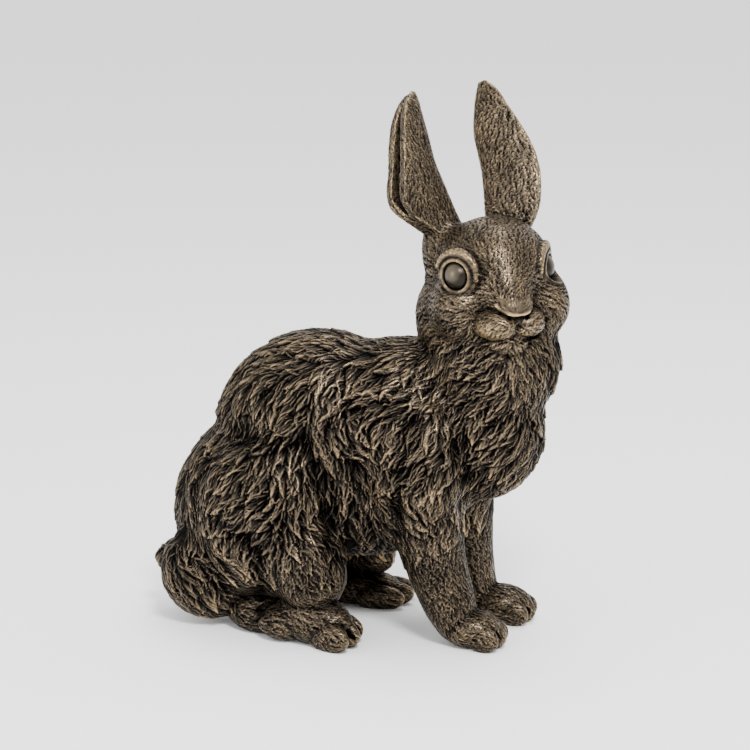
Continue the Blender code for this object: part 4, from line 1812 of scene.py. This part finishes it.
@dataclass
class Rabbit:
    """The whole casting, from clay to dressed pieces.

    Attributes:
        rough_grain: Voxel size of the blocked-out masses, in design millimetres.
        rough_softness: Rounds of smoothing after it.
        fine_grain: Voxel size of the finished skin.
        fine_softness: Rounds of smoothing after it.
        lock_height: How far a lock's tip stands proud on the longest fur.
        tuft_share: Height of the combed tufts, as a share of what the coat's guides give.
        least_tuft: Tufts lower than this are left out.
        tuft_pull: How far the tufts turn the coat's own lie, as a share.
        shortest: Fur this short has no locks, as a share of the flank's.
        sunk: How far tufts, locks and hairs lie in the smooth form, as shares of their heights.
        shortest_hair: Height of the hairs on bare stretches, as a share of those on the flank.
        form_rounds: Rounds of blurring that the smooth form has to stand out of.
        lock_tone: How much less the tops of long locks count as worn.
        bare_tone: How much the hairs count as worn on bare skin, as a share.
        ear_roots: A place and a direction; what lies beyond the plane there is the ears' section.
        neck: The same for the head and ears.
        waist: How far forward the fore sections start.
        elbows: Height where the chest's section starts.
        thighs: Height where the back's section starts.
        weld: Distance below which a cut's corners are joined, in millimetres.
        cut_corners: A face with this many corners or more is a cut's flat end, and stays flat.
        skull: The head's masses and features.
        paws: The front paws.
    """

    rough_grain: float = 3.2
    rough_softness: int = 24
    fine_grain: float = 0.86
    fine_softness: int = 9
    lock_height: float = 0.75
    tuft_share: float = 0.8
    least_tuft: float = 0.7
    tuft_pull: float = 0.5
    shortest: float = 0.3
    sunk: Triple = (0.45, 0.5, 0.6)
    shortest_hair: float = 0.3
    form_rounds: int = 24
    lock_tone: float = 0.6
    bare_tone: float = 0.4
    ear_roots: Plane = ((73.6, 22.1, 300.3), (-0.25, 0.35, 0.9))
    neck: Plane = ((86, -8, 224), (0.25, -0.2, 1.0))
    waist: float = 18.0
    elbows: float = 118.0
    thighs: float = 150.0
    weld: float = 0.0001
    cut_corners: int = 8
    skull: Skull = field(default_factory=Skull)
    paws: FrontPaws = field(default_factory=FrontPaws)

    def modelled(self) -> Skin:
        """Models the smooth figure and carves its features.

        Returns:
            The carved skin.
        """
        clay = Clay()
        clay.all_of(Torso())
        clay.all_of(Limbs())
        self.skull.lay_on(clay)
        clay.fused("blocked_out", self.rough_grain, self.rough_softness)
        self.paws.lay_on(clay)
        for foot in HIND_FEET:
            foot.instep.lay_on(clay)
            foot.hock.lay_on(clay)
        for foot in HIND_FEET:
            foot.lay_on_toes(clay)
        self.skull.lay_on_features(clay)
        RIGHT_EAR.lay_on(clay)
        LEFT_EAR.lay_on(clay)
        skin = Skin(clay.fused("cast_skin", self.fine_grain, self.fine_softness))
        log.info("fine skin: %d vertices", len(skin.points))
        for crease in BODY_CREASES:
            for side in crease.sides:
                skin.engrave(mirrored(crease.path, side), crease.width, crease.depth)
        self.skull.carve(skin)
        self.paws.carve(skin)
        for foot in HIND_FEET:
            foot.carve(skin)
        skin.write()
        return skin

    def furred(self, skin: Skin) -> None:
        """Combs the fur into the skin, and stores how worn each place is, and where shade is painted.

        Args:
            skin: The carved skin.
        """
        coat = Coat()
        coat.settle(skin)
        form, furry = skin.bulge(self.form_rounds), BareSkin().furriness(skin, self.skull.eyes)
        tufts, locks, hair = Comb(TUFTS), Comb(LOCKS), Hair(HairStyle())
        tuft_height = self.tuft_share * coat.tuft * furry
        tall = np.where(tuft_height > self.least_tuft, tuft_height, 0)
        tufts.comb(skin, coat, tall, np.ones(len(skin.points)))
        pulled = (1 - self.tuft_pull) * coat.lie + self.tuft_pull * tufts.lie
        coat.lie = coat.level(pulled, skin.normals)
        lock_share = np.clip(coat.length - self.shortest, 0, 1) / (1 - self.shortest)
        lock_height = self.lock_height * lock_share * furry
        locks.comb(skin, coat, lock_height, coat.length)
        hair.draw(skin, coat.level(locks.lie, skin.normals), coat.length)
        hair_share = self.shortest_hair + (1 - self.shortest_hair) * coat.length
        hair_height = hair.style.height * hair_share * furry
        tuft_sunk, lock_sunk, hair_sunk = self.sunk
        lift = tufts.relief - tuft_sunk * tuft_height + locks.relief - lock_sunk * lock_height
        lift += (hair.relief - hair_sunk) * hair_height
        skin.points += skin.normals * lift[:, None]
        skin.trim(DESIGN.low[2])
        skin.write()
        height = tuft_height + lock_height
        raised = tufts.relief + locks.relief - lock_sunk * height
        lock = raised / np.maximum(height, 1.0) - coat.length * self.lock_tone
        hair_tone = hair.relief * (self.bare_tone + (1 - self.bare_tone) * furry)
        # Stores the wear, with the shade painted under the chin and in the eyes' sockets.
        skin.store("wear", Patina(self.skull).wear(skin, form, lock, hair_tone))

    def planes(self, section: Section) -> list[Plane]:
        """Looks up the planes that bound a section.

        Args:
            section: Which section.

        Returns:
            For each plane a place on it and the way out of the section.
        """
        ears, neck, waist = self.ear_roots, self.neck, ((self.waist, 0, 0), (1, 0, 0))
        elbows, thighs = ((0, 0, self.elbows), UP), ((0, 0, self.thighs), UP)
        middle = (ORIGIN, (0, Side.LEFT.value, 0))
        bounds = {
            Section.EARS: [turned(ears)],
            Section.HEAD: [ears, turned(neck)],
            Section.CHEST: [neck, turned(waist), turned(elbows)],
            Section.FORELEGS: [neck, turned(waist), elbows],
            Section.BACK: [neck, waist, turned(thighs)],
            Section.RIGHT_HAUNCH: [neck, waist, thighs, middle],
            Section.LEFT_HAUNCH: [neck, waist, thighs, turned(middle)],
        }
        return bounds[section]

    def section(self, skin: Skin, section: Section) -> bpy.types.Object:
        """Cuts one closed section out of the casting.

        Args:
            skin: The furred skin.
            section: Which section.

        Returns:
            The section, in the frame's metres.
        """
        only(skin.obj)
        bpy.ops.object.duplicate()
        piece = bpy.context.object
        piece.name = section.value
        piece.data.name = section.value
        bpy.ops.object.mode_set(mode="EDIT")
        for place, outward in self.planes(section):
            bpy.ops.mesh.select_all(action="SELECT")
            bpy.ops.mesh.bisect(
                plane_co=place, plane_no=outward, use_fill=True, clear_outer=True, threshold=self.weld
            )
        bpy.ops.object.mode_set(mode="OBJECT")
        piece.data.transform(DESIGN.to_frame())
        corners = np.empty(len(piece.data.polygons), dtype=np.int32)
        piece.data.polygons.foreach_get("loop_total", corners)
        piece.data.polygons.foreach_set("use_smooth", corners < self.cut_corners)
        piece.data.update()
        return piece

    def build(self) -> list[bpy.types.Object]:
        """Builds and dresses every piece.

        Returns:
            The pieces, with their materials.
        """
        skin = self.modelled()
        self.furred(skin)
        bronze, smooth = BronzeFinish().material(), EyeFinish().material()
        pieces = []
        for section in Section:
            piece = self.section(skin, section)
            piece.data.materials.clear()
            piece.data.materials.append(bronze)
            pieces.append(piece)
        for eye in self.skull.eyes:
            ball = eye.eyeball()
            ball.data.materials.append(smooth)
            pieces.append(ball)
        bpy.data.objects.remove(skin.obj)
        return pieces


@dataclass(frozen=True)
class Softbox:
    """One square softbox that faces the statue.

    Attributes:
        name: The light's name.
        place: Where it hangs, in metres.
        size: Length of its side, in metres.
        power: Its power in watts.
        aim: The place that it faces, in metres.
    """

    name: str
    place: Triple
    size: float
    power: float
    aim: Triple = (0.0, 0.0, 0.2)

    def hang(self) -> None:
        """Hangs the softbox."""
        bpy.ops.object.light_add(type="AREA", location=self.place)
        light = bpy.context.object
        light.name = self.name
        light.data.shape = "SQUARE"
        light.data.size = self.size
        light.data.energy = self.power
        towards = Vector(self.aim) - Vector(self.place)
        light.rotation_euler = towards.to_track_quat("-Z", "Y").to_euler()


@dataclass(frozen=True)
class Studio:
    """The camera at the photograph's angle, a pale floor and soft light.

    Attributes:
        azimuth: Degrees round from the rabbit's right side.
        elevation: Degrees down.
        distance: Camera to target, in design millimetres.
        pixel: What one pixel of the photograph spans at the target, in design millimetres.
        target: The place at the middle of the picture, in design millimetres.
        sensor: Width of the camera's sensor, in millimetres.
        floor_size: Length of the floor's side, in metres.
        floor_gap: How far the floor lies under the soles, in metres.
        floor_colour: Colour of the floor.
        floor_rough: Roughness of the floor.
        sky: Strength of the even light from all round.
        softboxes: The softboxes.
    """

    azimuth: float = 20.0
    elevation: float = 13.0
    distance: float = 2200.0
    pixel: float = 0.713
    target: Triple = (0.0, 0.0, 186.7)
    sensor: float = 36.0
    floor_size: float = 14.0
    floor_gap: float = 0.0002
    floor_colour: Triple = (0.93, 0.93, 0.93)
    floor_rough: float = 0.9
    sky: float = 1.7
    softboxes: tuple[Softbox, ...] = (
        Softbox("key", (0.9, -1.5, 1.9), 0.5, 80.0),
        Softbox("fill", (-1.3, -1.6, 0.6), 0.9, 13.0),
        Softbox("top", (0.1, 0.5, 1.8), 0.8, 16.0),
    )

    def camera(self) -> None:
        """Sets the camera up."""
        around, down = math.radians(self.azimuth), math.radians(self.elevation)
        back = Vector((math.sin(around) * math.cos(down), -math.cos(around) * math.cos(down), math.sin(down)))
        reach = self.distance * DESIGN.scale()
        bpy.ops.object.camera_add(location=DESIGN.to_frame() @ Vector(self.target) + back * reach)
        camera = bpy.context.object
        camera.rotation_euler = (-back).to_track_quat("-Z", "Y").to_euler()
        camera.data.sensor_width = self.sensor
        camera.data.lens = self.sensor * self.distance / (PHOTO_PIXELS * self.pixel)
        bpy.context.scene.camera = camera

    def floor(self) -> None:
        """Lays a wide pale floor under the soles."""
        level = CAD_BOX[0][2] - self.floor_gap
        bpy.ops.mesh.primitive_plane_add(size=self.floor_size, location=(0.0, 0.0, level))
        floor = bpy.context.object
        floor.name = "studio_floor"
        material = bpy.data.materials.new("pale_floor")
        material.use_nodes = True
        shader = material.node_tree.nodes["Principled BSDF"]
        shader.inputs["Base Color"].default_value = (*self.floor_colour, 1.0)
        shader.inputs["Roughness"].default_value = self.floor_rough
        floor.data.materials.append(material)

    def light(self) -> None:
        """Lights the statue softly from above and from both sides."""
        world = bpy.data.worlds.new("studio")
        bpy.context.scene.world = world
        world.use_nodes = True
        sky = world.node_tree.nodes["Background"]
        sky.inputs["Color"].default_value = (1.0, 1.0, 1.0, 1.0)
        sky.inputs["Strength"].default_value = self.sky
        for softbox in self.softboxes:
            softbox.hang()


def main() -> None:
    """Builds the statue's pieces, places them on the frame and sets the studio up."""
    logging.basicConfig(level=logging.INFO, format="%(name)s: %(message)s")
    for piece in Rabbit().build():
        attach(piece, BODY_NAME)
        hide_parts(NODE)
        log.info("%s: %d faces", piece.name, len(piece.data.polygons))
    studio = Studio()
    studio.camera()
    studio.floor()
    studio.light()


if __name__ == "__main__":
    main()
